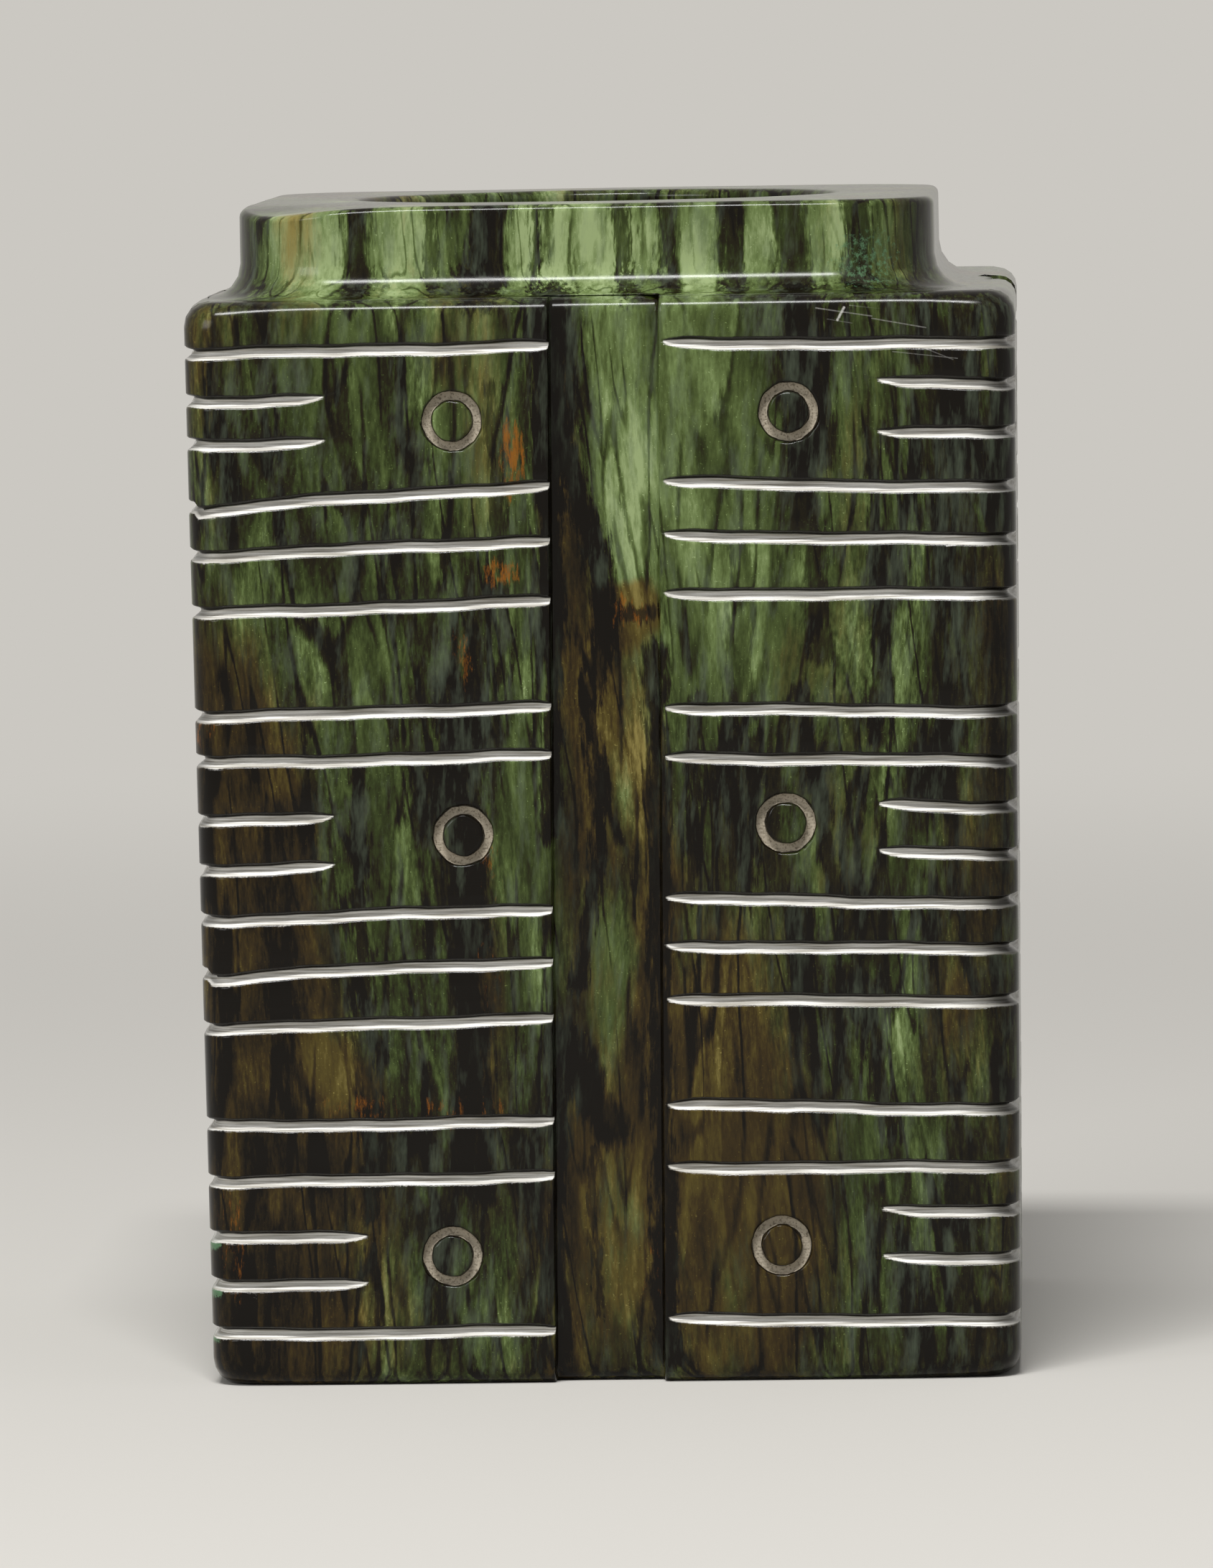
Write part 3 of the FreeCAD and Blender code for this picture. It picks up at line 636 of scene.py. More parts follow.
def cap_rings(outline):
    """Rings of points from the body's upper edge by collar, rim, bore and foot to its lower one."""
    sizes = outline.sizes
    count = outline.count
    shoulder, top = sizes.body_height, HIGH[2]
    rings = []

    def level_ring(level, height):
        return np.concatenate([level, np.broadcast_to(height, count)[:, None]], axis=1)

    def ring(level, height):
        rings.append(level_ring(level, height))

    def body_ring(height, inset):
        ring(outline.place(height, inset)[0], height)

    def fill(end_ring, steps):
        for middle in between(rings[-1].copy(), end_ring, steps):
            rings.append(middle)
        rings.append(end_ring)

    edge = outline.edges
    for angle in rounded(0, 90, 4):
        body_ring(shoulder - edge + edge * math.sin(angle), edge * (1 - math.cos(angle)))
    half = outline.half_top - sizes.collar_ledge
    root, corner = sizes.collar_root, sizes.collar_corner
    fill(level_ring(outline.rounded_square(half + root, corner + root), shoulder), 2)
    for angle in rounded(0, 90, 4):
        out, up = root * (1 - math.sin(angle)), root * (1 - math.cos(angle))
        ring(outline.rounded_square(half + out, corner + out), shoulder + up)
    rim = sizes.rim_radius
    fill(level_ring(outline.rounded_square(half, corner), top - rim), 3)
    for angle in rounded(0, 90, 4):
        inset, height = rim * (1 - math.cos(angle)), top - rim + rim * math.sin(angle)
        ring(outline.rounded_square(half - inset, corner - inset), height)
    mouth = sizes.mouth_radius
    fill(level_ring(outline.circle(sizes.rim_bore + mouth), top), 2)
    for angle in rounded(0, 90, 3):
        inset = mouth * (1 - math.cos(angle))
        ring(outline.circle(sizes.rim_bore + mouth * (1 - math.sin(angle))), top - inset)
    for level in rings:
        from_corner = (level[:, :2] / MM - WORN_RIM[0]) / WORN_RIM[1]
        above = np.clip((level[:, 2] - shoulder) / (top - shoulder), 0.0, 1.0)
        level[:, 2] -= sizes.rim_wear * above ** 2 * np.exp(-(from_corner ** 2).sum(axis=1))
    meeting = sizes.bore_meeting
    fill(level_ring(outline.circle(sizes.rim_bore), meeting + 0.2 * MM), 5)
    step = sizes.foot_bore - sizes.rim_bore
    for share, up in BORE_STEP:
        ring(outline.circle(sizes.rim_bore + share * step), meeting + up * MM)
    fill(level_ring(outline.circle(sizes.foot_bore), mouth), 5)
    for angle in rounded(0, 90, 3):
        inset = mouth * (1 - math.cos(angle))
        ring(outline.circle(sizes.foot_bore + inset), mouth * (1 - math.sin(angle)))
    foot_edge = outline.place(np.zeros(count), edge)[0]
    fill(level_ring(foot_edge, 0.0), 3)
    for angle in rounded(90, 0, 4)[:-1]:
        body_ring(edge * (1 - math.sin(angle)), edge * (1 - math.cos(angle)))
    return rings


def eye_places(carving, draws):
    """Face, half (0 left, 1 right), distance from the face's middle and height of every eye."""
    places = []
    for face in range(FACES):
        for half in range(2):
            corner = (face + half) % FACES
            for distance, height in FRONT_EYES[corner % 2]:
                if face:
                    distance += draws.uniform(-EYE_JITTER, EYE_JITTER)
                    height += draws.uniform(-EYE_JITTER, EYE_JITTER) / 2
                places.append((face, half, distance * MM, height * MM))
    return places


def face_caps_inward(points, inward, side_count):
    """Fills in the directions into the stone on collar, rim, bore and foot, by the rings' slope."""
    level_count = len(points)
    for level in range(side_count, level_count):
        up = points[(level + 1) % level_count] - points[level - 1]
        round_it = np.roll(points[level], -1, axis=0) - np.roll(points[level], 1, axis=0)
        normal = np.cross(round_it, up)
        length = np.linalg.norm(normal, axis=1, keepdims=True)
        inward[level] = -normal / np.maximum(length, 1e-12)


def eye_gap(outline, heights, face, half, distance, height):
    """Lowest and highest row, and first and last column, of the gap in the grid round an eye."""
    columns = face * outline.per_face + np.arange(outline.per_face)
    of_half = outline.kinds[columns] == ("end" if half else "start")
    columns = columns[of_half & (outline.angles[columns] == 0)]
    level = int(np.argmin(np.abs(heights[:, columns[len(columns) // 2]] - height)))
    beside = outline.place(heights[level], 0.0)[1][columns] - distance
    left = columns[beside < -EYE_BLOCK * MM].max()
    right = columns[beside > EYE_BLOCK * MM].min()
    span = heights[:, left:right + 1]
    lower = int(np.max(np.where(span.max(axis=1) < height - EYE_BLOCK * MM)[0]))
    upper = int(np.min(np.where(span.min(axis=1) > height + EYE_BLOCK * MM)[0]))
    return lower, upper, left, right


def eye_rounds(border):
    """Angles and radii of the rounds of points inside a border, which is given from its middle.

    The first rounds ease from the border's square to even circles, and the last is one point.
    """
    count = len(border)
    turn = np.unwrap(np.arctan2(border[:, 1], border[:, 0]))
    even = turn[0] + TURN * np.arange(count) / count
    even += np.mean(turn - even)
    for index, circle in enumerate(EYE_CIRCLES):
        blend = min(1.0, (index + 1) / 4)
        radius = np.full(count, circle * MM)
        if index == 0:
            radius = (radius + np.hypot(border[:, 0], border[:, 1])) / 2
        yield turn * (1 - blend) + even * blend, radius
    yield np.zeros(1), np.zeros(1)


def stone_shell(sizes, carving):
    """The uncut stone as points and faces, with the attributes that the carving follows."""
    draws = np.random.default_rng(carving.seed)
    outline = Outline(sizes, carving)
    heights, across, depths = side_levels(outline, groove_lines(carving, draws))
    side_count, count = heights.shape
    side = np.stack([
        np.concatenate([outline.place(row, 0.0)[0], row[:, None]], axis=1) for row in heights
    ])
    points = np.concatenate([side, np.stack(cap_rings(outline))])
    level_count = len(points)
    shape = (level_count, count)
    inward = np.zeros_like(points)
    inward[:side_count] = outline.inward()
    face_caps_inward(points, inward, side_count)
    inward[points[..., 2] < FLAT_FOOT * sizes.edge_radius] = 0.0
    plain = {"across": OFF_GROOVE, "fading": 0.0, "sunk": 0.0, "eye_radius": OFF_EYE * MM}
    fields = {name: np.full(shape, value) for name, value in plain.items()}
    fields["across"][:side_count] = across
    fields["fading"][:side_count] = depths
    fields["sunk"][:] = outline.sinks * carving.channel_depth

    ids = np.arange(level_count * count).reshape(shape)
    keep = np.ones(shape, dtype=bool)
    all_points = [points.reshape(-1, 3)]
    all_inward = [inward.reshape(-1, 3)]
    all_fields = {name: [values.reshape(-1)] for name, values in fields.items()}
    patches = []
    used = level_count * count
    for face, half, distance, height in eye_places(carving, draws):
        distance = distance if half else -distance
        lower, upper, left, right = eye_gap(outline, heights, face, half, distance, height)
        keep[lower:upper, left:right] = False
        border = (
            [(lower, column) for column in range(left, right)]
            + [(row, right) for row in range(lower, upper)]
            + [(upper, column) for column in range(right, left, -1)]
            + [(row, left) for row in range(upper, lower, -1)]
        )
        previous = np.array([ids[spot] for spot in border])
        following = np.roll(np.arange(len(border)), -1)
        from_eye = np.array([
            (outline.place(heights[row], 0.0)[1][column] - distance, heights[row, column] - height)
            for row, column in border
        ])
        for angle, radius in eye_rounds(from_eye):
            level = height + radius * np.sin(angle)
            flat = turned(distance + radius * np.cos(angle), outline.half_width(level), face)
            size = len(level)
            spot_ids = np.arange(used, used + size)
            used += size
            all_points.append(np.concatenate([flat, level[:, None]], axis=1))
            all_inward.append(np.tile(outline.inward()[left], (size, 1)))
            for name, value in plain.items():
                all_fields[name].append(radius if name == "eye_radius" else np.full(size, value))
            for n, after in enumerate(following):
                ends = spot_ids if size == 1 else spot_ids[[after, n]]
                patches.append((previous[n], previous[after], *ends))
            previous = spot_ids

    upper_ids = np.roll(ids, -1, axis=0)
    quads = np.stack([
        ids, np.roll(ids, -1, axis=1), np.roll(upper_ids, -1, axis=1), upper_ids,
    ], axis=-1)[keep]
    faces = quads.tolist() + patches
    used_ids = np.unique(np.concatenate([quads.reshape(-1), np.concatenate(patches)]))
    renumber = np.full(used, -1)
    renumber[used_ids] = np.arange(len(used_ids))
    return (
        np.concatenate(all_points)[used_ids],
        [tuple(int(renumber[spot]) for spot in face) for face in faces],
        np.concatenate(all_inward)[used_ids],
        {name: np.concatenate(values)[used_ids] for name, values in all_fields.items()},
    )


def add(tree, kind, inputs=(), operation=None, out=0, **settings):
    """Adds a node with its settings, fills its inputs with sockets or values, gives an output.

    Inputs are given in order, or by name or number where some are left as they are.
    """
    node = tree.nodes.new(kind)
    if operation:
        node.operation = operation
    for name, value in settings.items():
        setattr(node, name, value)
    for slot, value in inputs.items() if isinstance(inputs, dict) else enumerate(inputs):
        socket = node.inputs[slot]
        if isinstance(value, bpy.types.NodeSocket):
            tree.links.new(value, socket)
        elif socket.type == "RGBA" and len(value) == 3:
            socket.default_value = (*value, 1.0)
        else:
            socket.default_value = value
    return node.outputs[out] if len(node.outputs) else None


def carving_tree():
    """Geometry nodes that cut grooves and eye rings into the shell and roll its polished faces."""
    tree = bpy.data.node_groups.new("carve_masks", "GeometryNodeTree")
    tree.is_modifier = True
    put = partial(add, tree)
    tree.interface.new_socket("Geometry", in_out="INPUT", socket_type="NodeSocketGeometry")
    for name in CARVING_INPUTS:
        tree.interface.new_socket(name, in_out="INPUT", socket_type="NodeSocketFloat")
    tree.interface.new_socket("Stone", in_out="INPUT", socket_type="NodeSocketMaterial")
    tree.interface.new_socket("Geometry", in_out="OUTPUT", socket_type="NodeSocketGeometry")
    given = put("NodeGroupInput").node.outputs
    place = put("GeometryNodeInputPosition")
    across, fading, sunk, radius = (
        put("GeometryNodeInputNamedAttribute", {"Name": name}, data_type="FLOAT")
        for name in ("across", "fading", "sunk", "eye_radius")
    )
    inward = put("GeometryNodeInputNamedAttribute", {"Name": "inward"}, data_type="FLOAT_VECTOR")

    def by_chance(spots, shift, detail=2.0):
        """Noise through the stone, with so many spots to the mm, set by the seed."""
        seed = put("ShaderNodeMath", (given["Seed"], shift), "ADD")
        inputs = {"Vector": place, "W": seed, "Scale": spots / MM, "Detail": detail}
        return put("ShaderNodeTexNoise", inputs, noise_dimensions="4D")

    # The groove's section, from its lower lip to its upper one.
    low, high = GROOVE_ROWS[0], GROOVE_ROWS[-1] + 0.15
    cut = put("ShaderNodeFloatCurve", {"Value": put("ShaderNodeMapRange", (across, low, high))})
    section = cut.node.mapping
    points = section.curves[0].points
    spots = [((row - low) / (high - low), depth) for row, depth in zip(GROOVE_ROWS, GROOVE_CUTS)]
    points[0].location = spots[0]
    points[1].location = (1.0, 0.0)
    for spot in spots[1:]:
        points.new(*spot)
    for point in points:
        point.handle_type = "VECTOR"
    section.update()
    cut = put("ShaderNodeMath", (cut, fading), "MULTIPLY")
    rough = put("ShaderNodeMath", (by_chance(TOOL_JUMPS, 3.0), 0.24, 0.88), "MULTIPLY_ADD")
    groove = put("ShaderNodeMath", (cut, given["Groove Depth"]), "MULTIPLY")
    groove = put("ShaderNodeMath", (groove, rough), "MULTIPLY")

    # Small breaks along the lower lip, and none of the groove's depth in the channel.
    from_lip = put("ShaderNodeMath", (across, -LOWER_LIP), "ADD")
    from_lip = put("ShaderNodeMath", (from_lip,), "ABSOLUTE")
    near_lip = put("ShaderNodeMapRange", (from_lip, 0.45, 0.1), **SOFT)
    broken = put("ShaderNodeMapRange", (by_chance(CHIPS, 11.0), 0.56, 0.7))
    chips = put("ShaderNodeMath", (near_lip, broken), "MULTIPLY")
    chips = put("ShaderNodeMath", (chips, fading), "MULTIPLY")
    groove = put("ShaderNodeMath", (chips, given["Chip Depth"], groove), "MULTIPLY_ADD")
    groove = put("ShaderNodeMath", (groove, sunk), "SUBTRACT")
    groove = put("ShaderNodeMath", (groove, 0.0), "MAXIMUM")

    # Ring walls that lean and wander a little.
    wobble = put("ShaderNodeMath", (by_chance(TOOL_JUMPS, 41.0), 0.5), "SUBTRACT")
    radius = put("ShaderNodeMath", (wobble, RING_WOBBLE * MM, radius), "MULTIPLY_ADD")
    walls = []
    for name, way in (("Ring Outside", 1), ("Ring Inside", -1)):
        lip = put("ShaderNodeMath", (given[name], way * RING_LIP * MM), "ADD")
        floor = put("ShaderNodeMath", (given[name], -way * RING_FLOOR * MM), "ADD")
        walls.append(put("ShaderNodeMapRange", (radius, lip, floor), **SOFT))
    drilled = put("ShaderNodeMath", walls, "MULTIPLY")
    ring = put("ShaderNodeMath", (drilled, given["Ring Depth"]), "MULTIPLY")
    ring = put("ShaderNodeMath", (ring, rough), "MULTIPLY")

    depth = put("ShaderNodeMath", (groove, ring), "MAXIMUM")
    rolling = by_chance(ROLLING, 29.0, 1.0)
    depth = put("ShaderNodeMath", (rolling, given["Unevenness"], depth), "MULTIPLY_ADD")
    offset = put("ShaderNodeVectorMath", {"Vector": inward, "Scale": depth}, "SCALE")
    shape = put("GeometryNodeSetPosition", {"Geometry": given["Geometry"], "Offset": offset})
    cut_share = put("ShaderNodeMath", (groove, given["Groove Depth"]), "DIVIDE", use_clamp=True)
    for name, value in (("cut", cut_share), ("drilled", drilled)):
        shape = put(
            "GeometryNodeStoreNamedAttribute", {"Geometry": shape, "Name": name, "Value": value},
            data_type="FLOAT", domain="POINT",
        )
    shape = put("GeometryNodeSetShadeSmooth", (shape,))
    shape = put("GeometryNodeRealizeInstances", (shape,))
    shape = put("GeometryNodeSetMaterial", {"Geometry": shape, "Material": given["Stone"]})
    put("NodeGroupOutput", (shape,))
    return tree


def clouded(points):
    """Strength of the front's clouds at points, by what they change."""
    fields = {}
    for name, table in CLOUDS.items():
        total = np.zeros(len(points))
        for x, y, z, wide, high, strength in table:
            away = (points / MM - (x, y, z)) / (wide, CLOUD_THICKNESS, high)
            total += strength * np.exp(-(away ** 2).sum(axis=1) ** 2)
        fields[name] = total
    behind = smooth((points[:, 1] / MM - FRONT_ENDS) / CLOUD_THICKNESS)
    fields["paleness"] += PALENESS_BEHIND * behind
    return fields


def grain(put, source, width, length, lean=0.0, detail=4.0, rough=0.6, shift=0.0, out=0):
    """Upright grain through the stone: usual width and length in mm, and lean in degrees."""
    stretched = put(
        "ShaderNodeMapping",
        {
            "Vector": source, "Location": (shift * MM,) * 3,
            "Rotation": (0.0, math.radians(lean), 0.0),
            "Scale": (width * MM, width * MM, length * MM),
        },
        vector_type="TEXTURE",
    )
    settings = {"Vector": stretched, "Scale": 1.0, "Detail": detail, "Roughness": rough}
    return put("ShaderNodeTexNoise", settings, out=out)


def distance(put, source, x1, z1, x2, z2, y):
    """How far places are from a line between two points given in mm, on the front."""
    start = Vector((x1, y * VEIN_THINNING[1], z1)) * MM
    run = Vector((x2 - x1, 0.0, z2 - z1)) * MM
    from_start = put("ShaderNodeVectorMath", (source, start), "SUBTRACT")
    share = put(
        "ShaderNodeVectorMath", (from_start, run / run.length_squared), "DOT_PRODUCT", out="Value",
    )
    share = put("ShaderNodeMath", (share, 1.0), "MULTIPLY", use_clamp=True)
    nearest = put("ShaderNodeVectorMath", {0: run, "Scale": share}, "SCALE")
    return put("ShaderNodeVectorMath", (from_start, nearest), "DISTANCE", out="Value")


def strayed(put, place, width, length, detail, reach):
    """Places moved about by a soft noise, so that straight grain or a straight vein bends."""
    noise = grain(put, place, width, length, detail=detail, out="Color")
    noise = put("ShaderNodeVectorMath", (noise, (0.5, 0.5, 0.5)), "SUBTRACT")
    return put("ShaderNodeVectorMath", (noise, Vector(reach) * MM, place), "MULTIPLY_ADD")


def fibres(put, place, sway, feather, paleness):
    """How light the stone is, from its lamellae, bands and seams."""
    tone = put("ShaderNodeMath", (feather, 0.6, -0.3), "MULTIPLY_ADD")
    # Lamellae: each shades from dark to light across its width and ends at a crisp edge.
    for width, length, lean, folds, weight in LAMELLAE:
        band = grain(put, sway, width, length, lean, 1.2, 0.4, shift=width)
        band = put("ShaderNodeMath", (feather, 0.04, band), "MULTIPLY_ADD")
        band = put("ShaderNodeMath", (band, float(folds)), "MULTIPLY")
        band = put("ShaderNodeMath", (band,), "FRACT")
        edge = put("ShaderNodeMapRange", (band, 1.0, 0.88), **SOFT)
        band = put("ShaderNodeMath", (band, edge), "MULTIPLY")
        band = put("ShaderNodeMath", (band, 0.45), "SUBTRACT")
        tone = put("ShaderNodeMath", (band, weight, tone), "MULTIPLY_ADD")
    for width, length, lean, detail, weight in BANDS:
        band = grain(put, sway, width, length, lean, detail, 0.6, shift=width)
        band = put("ShaderNodeMath", (band, 0.5), "SUBTRACT")
        tone = put("ShaderNodeMath", (band, weight, tone), "MULTIPLY_ADD")
    # Seams: thin dark lines where a slow field passes one level, broken off here and there.
    broken = grain(put, place, 4, 14, 0, 2, shift=43.0)
    broken = put("ShaderNodeMapRange", (broken, 0.38, 0.52), **SOFT)
    for width, length, lean, thick, strength in SEAMS:
        seam = grain(put, sway, width, length, lean, 1.0, 0.4, shift=37.0 + width)
        seam = put("ShaderNodeMath", (feather, 0.09, seam), "MULTIPLY_ADD")
        seam = put("ShaderNodeMath", (seam, SEAM_LEVEL), "SUBTRACT")
        seam = put("ShaderNodeMath", (seam,), "ABSOLUTE")
        seam = put("ShaderNodeMapRange", (seam, thick, 0.0, 0.0, strength), **SOFT)
        seam = put("ShaderNodeMath", (seam, broken), "MULTIPLY")
        tone = put("ShaderNodeMath", (tone, seam), "SUBTRACT")
    # Pale stone is calmer than dark stone.
    calm = grain(put, place, 9, 24, 0, 1, shift=53.0)
    calm = put("ShaderNodeMath", (paleness, 1.1, calm), "MULTIPLY_ADD")
    contrast = put("ShaderNodeMapRange", (calm, 0.46, 0.86, 1.2, 0.62), **SOFT)
    average = put("ShaderNodeMath", (paleness, AVERAGE_TONE), "ADD")
    return put("ShaderNodeMath", (tone, contrast, average), "MULTIPLY_ADD")


def veined(put, place, feather, tone):
    """The tone with the front's dark veins in it, whose lines wander and whose edges fray."""
    wander = strayed(put, place, 2.5, 6, 3.0, (2.6, 0.0, 2.6))
    wander = put("ShaderNodeVectorMath", (wander, VEIN_THINNING), "MULTIPLY")
    fray = put("ShaderNodeMapRange", (feather, 0.3, 0.7, -VEIN_FRAY * MM, VEIN_FRAY * MM))
    for *line, half, strength in DARK_VEINS:
        away = put("ShaderNodeMath", (distance(put, wander, *line), fray), "ADD")
        ends = (1.35 * half * MM, 0.5 * half * MM, 0.0, 1.5 * strength)
        dark = put("ShaderNodeMapRange", (away, *ends), **SOFT)
        tone = put("ShaderNodeMath", (tone, dark), "SUBTRACT")
    return tone


def nephrite(colours):
    """Nephrite jade, ground and satin-polished: a soft gloss over long upright fibres of green and
    black-brown, iron stains in the cracks, and matt white bruises where a tool broke the polish."""
    material = bpy.data.materials.new("satin_polished_nephrite")
    material.use_nodes = True
    tree = material.node_tree
    tree.nodes.clear()
    put = partial(add, tree)
    place = put("ShaderNodeTexCoord", out="Object")
    paleness, browning, rust, patina, dullness, cut, drilled, across = (
        put("ShaderNodeAttribute", out="Fac", attribute_name=name)
        for name in (
            "paleness", "browning", "rust", "patina", "dullness", "cut", "drilled", "across",
        )
    )
    sway = strayed(put, place, 20, 60, 0.0, (6, 6, 0))
    feather = grain(put, sway, 0.5, 4, 0, 4, 0.7, shift=31.0)
    grit = put("ShaderNodeTexNoise", {"Vector": place, "Scale": 1 / (GRIT * MM), "Detail": 2.0})
    tone = veined(put, place, feather, fibres(put, place, sway, feather, paleness))
    specks = put("ShaderNodeMapRange", (grit, 0.66, 0.76, 0.0, 0.3))
    tone = put("ShaderNodeMath", (tone, specks), "ADD")
    paints = []
    for first, *between_ends, last in (GREEN_STOPS, BROWN_STOPS):
        paint = put("ShaderNodeValToRGB", (tone,))
        elements = paint.node.color_ramp.elements
        for element, (position, name) in zip(elements, (first, last)):
            element.position, element.color = position, (*getattr(colours, name), 1.0)
        for position, name in between_ends:
            elements.new(position).color = (*getattr(colours, name), 1.0)
        paints.append(paint)

    # What lies over the green, from the lowest layer up: how much of it shows, and its colour.
    milk = grain(put, sway, 1.3, 7, 3, 4, 0.65, shift=23.0)
    milk = put("ShaderNodeMapRange", (milk, 0.5, 0.72, 0.0, 0.38))
    browned = put("ShaderNodeMath", (grain(put, place, 13, 34, 5, 4, shift=11.0), browning), "ADD")
    browned = put("ShaderNodeMath", (feather, 0.25, browned), "MULTIPLY_ADD")
    browned = put("ShaderNodeMapRange", (browned, 0.58, 0.80), **SOFT)
    layers = [(milk, colours.milk), (browned, paints[1])]
    for field, stain, width, length in (
        (rust, colours.rust, 0.6, 3.0), (patina, colours.patina, 0.5, 0.6),
    ):
        spots = grain(put, place, width, length, detail=5.0, rough=0.8, shift=width)
        spots = put("ShaderNodeMath", (spots, field), "ADD")
        layers.append((put("ShaderNodeMapRange", (spots, 0.80, 0.98, 0.0, 0.75), **SOFT), stain))
    flat = put("ShaderNodeVectorMath", (place, VEIN_THINNING), "MULTIPLY")
    # White scratches, and one painted glint, in the frost colour.
    for *line, half, strength in SCRATCHES_AND_GLINT:
        away = distance(put, flat, *line)
        white = put("ShaderNodeMapRange", (away, 1.4 * half * MM, 0.4 * half * MM, 0.0, strength))
        white = put("ShaderNodeMath", (white, grit), "MULTIPLY")
        layers.append((white, colours.frost))

    # Painted shade in black under a groove's upper lip and on ring walls; tool marks of white
    # bruised stone below.
    strokes = {"Vector": place, "Scale": Vector(STROKES) * MM}
    strokes = put("ShaderNodeMapping", strokes, vector_type="TEXTURE")
    strokes = put("ShaderNodeTexNoise", {"Vector": strokes, "Scale": 1.0, "Detail": 3.0})
    frost = put("ShaderNodeMix", {
        0: put("ShaderNodeMapRange", (strokes, 0.35, 0.6)), 6: colours.cut_shade, 7: colours.frost,
    }, **COLOURED)
    frosted = put("ShaderNodeMath", (grit, 0.16, cut), "MULTIPLY_ADD")
    frosted = put("ShaderNodeMapRange", (frosted, 0.12, 0.26), **SOFT)
    # The groove's upper flank, which faces down, is painted dark as shade.
    upper = put("ShaderNodeMapRange", (across, 0.26, 0.5), **SOFT)
    painted_shade = put("ShaderNodeMath", (frosted, upper), "MULTIPLY")
    frosted = put("ShaderNodeMath", (frosted, painted_shade), "SUBTRACT")
    # Painted shade at the upright corners: the grooves' white gives way to black.
    shaded_corner = put("ShaderNodeMath", (frosted, dullness), "MULTIPLY")
    frosted = put("ShaderNodeMath", (frosted, shaded_corner), "SUBTRACT")
    painted_shade = put("ShaderNodeMath", (painted_shade, shaded_corner), "ADD")
    # The ring walls are painted dark all round, as shade.
    wall = put("ShaderNodeMapRange", (drilled, 0.02, 0.3), **SOFT)
    painted_shade = put("ShaderNodeMath", (painted_shade, wall), "MAXIMUM")
    painted_shade = put("ShaderNodeMath", (painted_shade, 0.92), "MULTIPLY")
    dust = put("ShaderNodeMix", {
        0: put("ShaderNodeMapRange", (grit, 0.3, 0.5, 0.35)), 6: colours.umber, 7: colours.ring,
    }, **COLOURED)
    ringed = put("ShaderNodeMapRange", (drilled, 0.6, 0.9), **SOFT)
    paint = paints[0]
    for share, layer in layers + [(painted_shade, colours.black), (frosted, frost), (ringed, dust)]:
        paint = put("ShaderNodeMix", {0: share, 6: paint, 7: layer}, **COLOURED)

    worked = put("ShaderNodeMath", (frosted, ringed), "MAXIMUM")
    roughness = put("ShaderNodeMapRange", (feather, 0.3, 0.7, *POLISH))
    roughness = put("ShaderNodeMath", (worked, BRUISED, roughness), "MULTIPLY_ADD")
    relief = put("ShaderNodeMath", (grit, worked), "MULTIPLY")
    for marks, weight in ((strokes, worked), (feather, 0.08), (strokes, 0.05)):
        relief = put("ShaderNodeMath", (marks, weight, relief), "MULTIPLY_ADD")
    bump = put("ShaderNodeBump", {"Strength": 0.6, "Distance": 0.08 * MM, "Height": relief})
    shader = put("ShaderNodeBsdfPrincipled", {
        "Base Color": paint, "Roughness": roughness, "Normal": bump, **GLOSS,
    })
    put("ShaderNodeOutputMaterial", {"Surface": shader})
    return material


def finish_nodes(piece):
    """Turns a piece's geometry nodes into plain mesh."""
    bpy.context.view_layer.update()
    evaluated = piece.evaluated_get(bpy.context.evaluated_depsgraph_get())
    mesh = bpy.data.meshes.new_from_object(evaluated)
    piece.modifiers.clear()
    piece.data = mesh


class CONG_OT_carve_jade(Operator):
    """Lays out the stone's surface, carves its masks and gives it its jade"""

    bl_idname = "cong.carve_jade"
    bl_label = "Carve Jade"

    def execute(self, context):
        scene = context.scene
        carving = scene.cong_carving
        points, faces, inward, fields = stone_shell(scene.cong_sizes, carving)
        mesh = bpy.data.meshes.new("carved_jade")
        mesh.from_pydata(points.tolist(), [], faces)
        for name, values in (fields | clouded(points)).items():
            attribute = mesh.attributes.new(name, "FLOAT", "POINT")
            attribute.data.foreach_set("value", values.astype(np.float32))
        attribute = mesh.attributes.new("inward", "FLOAT_VECTOR", "POINT")
        attribute.data.foreach_set("vector", inward.astype(np.float32).reshape(-1))
        if mesh.validate():
            raise RuntimeError("the stone's shell has bad faces")
        piece = bpy.data.objects.new("carved_jade", mesh)
        context.collection.objects.link(piece)
        tree = carving_tree()
        modifier = piece.modifiers.new("carve_masks", "NODES")
        modifier.node_group = tree
        sockets = {
            item.name: item.identifier
            for item in tree.interface.items_tree if item.in_out == "INPUT"
        }
        for name in CARVING_INPUTS:
            modifier[sockets[name]] = float(getattr(carving, name.lower().replace(" ", "_")))
        modifier[sockets["Stone"]] = nephrite(scene.cong_colours)
        weighted = piece.modifiers.new("flat_faces", "WEIGHTED_NORMAL")
        weighted.mode = "FACE_AREA"
        finish_nodes(piece)
        if not piece.data.polygons:
            raise RuntimeError("the carving left no stone")
        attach(piece, "root")
        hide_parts("jade_cong")
        return {"FINISHED"}


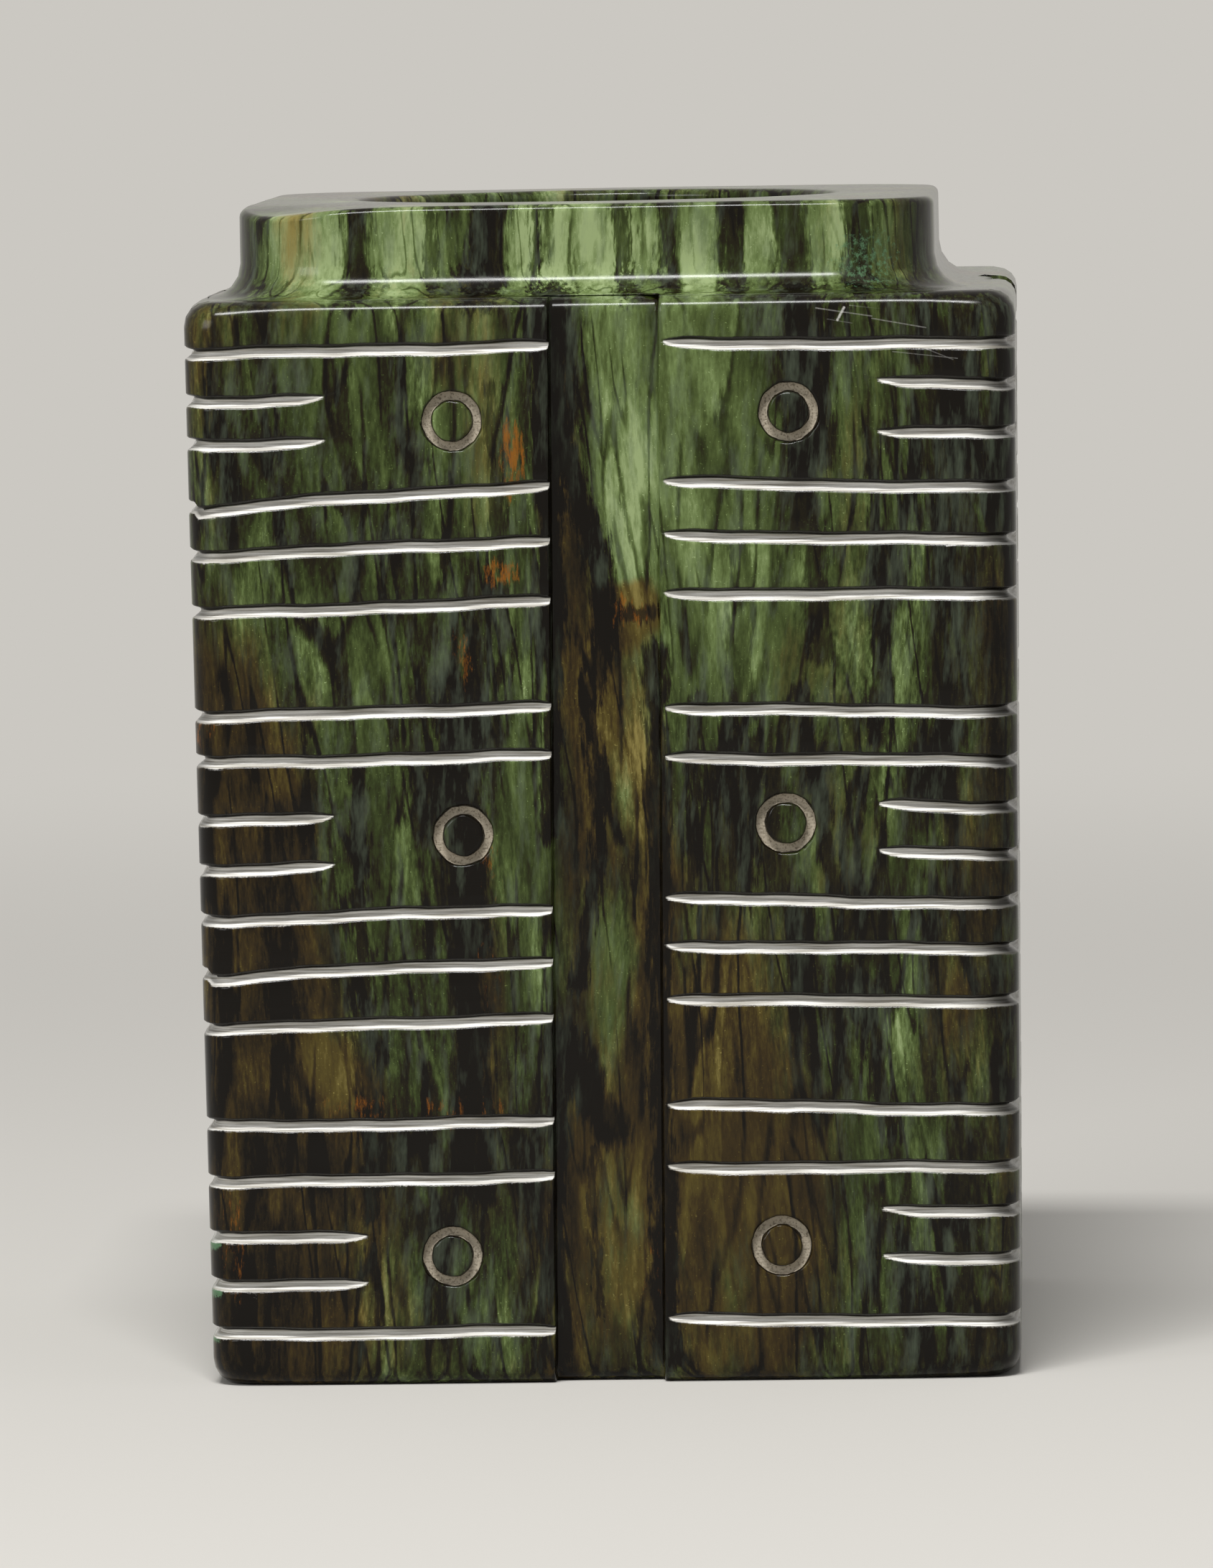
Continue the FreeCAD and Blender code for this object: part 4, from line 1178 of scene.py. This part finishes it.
class CONG_OT_set_stage(Operator):
    """Lays the floor, hangs the lamps and sets the camera at the viewing angle"""

    bl_idname = "cong.set_stage"
    bl_label = "Set Stage"

    def execute(self, context):
        scene = context.scene
        stage = scene.cong_stage
        self.lay_floor(context, stage)
        self.light(context, stage)
        self.aim_camera(context, stage)
        scene.view_settings.view_transform = "Standard"
        return {"FINISHED"}

    def lay_floor(self, context, stage):
        """A plain round floor, matt and pale, whose far part shows its own colour unshaded."""
        material = bpy.data.materials.new("matt_paper_floor")
        material.use_nodes = True
        tree = material.node_tree
        tree.nodes.clear()
        put = partial(add, tree)
        paper = put("ShaderNodeBsdfPrincipled", {
            "Base Color": stage.floor_colour, "Roughness": 0.9, "Specular IOR Level": 0.1,
        })
        plain = put("ShaderNodeEmission", {"Color": stage.floor_colour, "Strength": 1.0})
        away = put("ShaderNodeTexCoord", out="Object")
        away = put("ShaderNodeVectorMath", (away,), "LENGTH", out="Value")
        far = put("ShaderNodeMapRange", (away, *FLOOR_FADE), **SOFT)
        seen = put("ShaderNodeMath", (far, self.seen_straight(put)), "MULTIPLY")
        surface = put("ShaderNodeMixShader", (seen, paper, plain))
        put("ShaderNodeOutputMaterial", {"Surface": surface})
        mesh = bpy.data.meshes.new("floor")
        turns = [TURN * step / FLOOR_SIDES for step in range(FLOOR_SIDES)]
        radius = stage.floor_radius
        ring = [(radius * math.cos(turn), radius * math.sin(turn), 0.0) for turn in turns]
        mesh.from_pydata(ring, [], [tuple(range(len(ring)))])
        mesh.materials.append(material)
        floor = bpy.data.objects.new("floor", mesh)
        context.collection.objects.link(floor)
        floor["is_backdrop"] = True

    def seen_straight(self, put):
        """1 for rays from the camera, and for those mirrored or let through, and 0 for light."""
        rays = put("ShaderNodeLightPath").node.outputs
        seen = put("ShaderNodeMath", (rays["Is Camera Ray"], rays["Is Glossy Ray"]), "MAXIMUM")
        return put("ShaderNodeMath", (seen, rays["Is Transmission Ray"]), "MAXIMUM")

    def light(self, context, stage):
        """A broad lamp high above, a weaker one at the side, and even light all round."""
        for name, size, spot in LAMPS:
            spot = Vector(spot)
            lamp = bpy.data.lights.new(name, "AREA")
            lamp.energy = getattr(stage, name)
            lamp.shape = "RECTANGLE"
            lamp.size, lamp.size_y = size
            holder = bpy.data.objects.new(name, lamp)
            holder.location = spot
            holder.rotation_euler = (Vector(LAMPS_AIM) - spot).to_track_quat("-Z", "Y").to_euler()
            context.collection.objects.link(holder)
        world = bpy.data.worlds.new("even_light")
        world.use_nodes = True
        tree = world.node_tree
        tree.nodes.clear()
        put = partial(add, tree)
        white = {"Color": (1.0, 1.0, 1.0), "Strength": stage.world_strength}
        even = put("ShaderNodeBackground", white)
        plain = put("ShaderNodeBackground", {"Color": stage.floor_colour, "Strength": 1.0})
        surface = put("ShaderNodeMixShader", (self.seen_straight(put), even, plain))
        put("ShaderNodeOutputWorld", {"Surface": surface})
        context.scene.world = world

    def aim_camera(self, context, stage):
        """The viewing angle: a long lens a little above the shoulder, a little to the right."""
        lens = bpy.data.cameras.new("camera")
        lens.lens = stage.focal_length / MM
        lens.sensor_width = SENSOR_WIDTH
        lens.clip_start, lens.clip_end = CLIPPING
        holder = bpy.data.objects.new("camera", lens)
        turn, pitch, roll = (math.radians(angle) for angle in VIEW_ANGLES)
        level = math.cos(pitch)
        view = Vector((-math.sin(turn) * level, math.cos(turn) * level, -math.sin(pitch)))
        spot = Matrix.Rotation(turn, 3, "Z") @ (Vector(VIEW_SPOT) * MM)
        aim = view.to_track_quat("-Z", "Y").to_matrix() @ Matrix.Rotation(-roll, 3, "Z")
        holder.matrix_world = Matrix.Translation(spot) @ aim.to_4x4()
        context.collection.objects.link(holder)
        context.scene.camera = holder


class CONG_PT_panel(Panel):
    """Lists the cong's makers and settings"""

    bl_label = "Jade Cong"
    bl_idname = "CONG_PT_panel"
    bl_space_type = "VIEW_3D"
    bl_region_type = "UI"
    bl_category = "Cong"

    def draw(self, context):
        scene = context.scene
        for group, maker in (
            (scene.cong_sizes, None), (scene.cong_carving, None),
            (scene.cong_colours, CONG_OT_carve_jade), (scene.cong_stage, CONG_OT_set_stage),
        ):
            box = self.layout.box()
            for name in group.__annotations__:
                box.prop(group, name)
            if maker:
                box.operator(maker.bl_idname)


CLASSES = (
    CongSizes, CongCarving, JadeColours, StageSettings,
    CONG_OT_carve_jade, CONG_OT_set_stage, CONG_PT_panel,
)


def register():
    for item in CLASSES:
        bpy.utils.register_class(item)
    bpy.types.Scene.cong_sizes = PointerProperty(type=CongSizes)
    bpy.types.Scene.cong_carving = PointerProperty(type=CongCarving)
    bpy.types.Scene.cong_colours = PointerProperty(type=JadeColours)
    bpy.types.Scene.cong_stage = PointerProperty(type=StageSettings)


def unregister():
    for name in ("cong_sizes", "cong_carving", "cong_colours", "cong_stage"):
        delattr(bpy.types.Scene, name)
    for item in reversed(CLASSES):
        bpy.utils.unregister_class(item)


def main():
    register()
    bpy.ops.cong.carve_jade()
    bpy.ops.cong.set_stage()
    boxes = {
        name: [list(corner) for corner in bounds]
        for name, bounds in (("cad", FRAME_BOUNDS), ("visual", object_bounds()))
    }


if __name__ == "__main__":
    main()
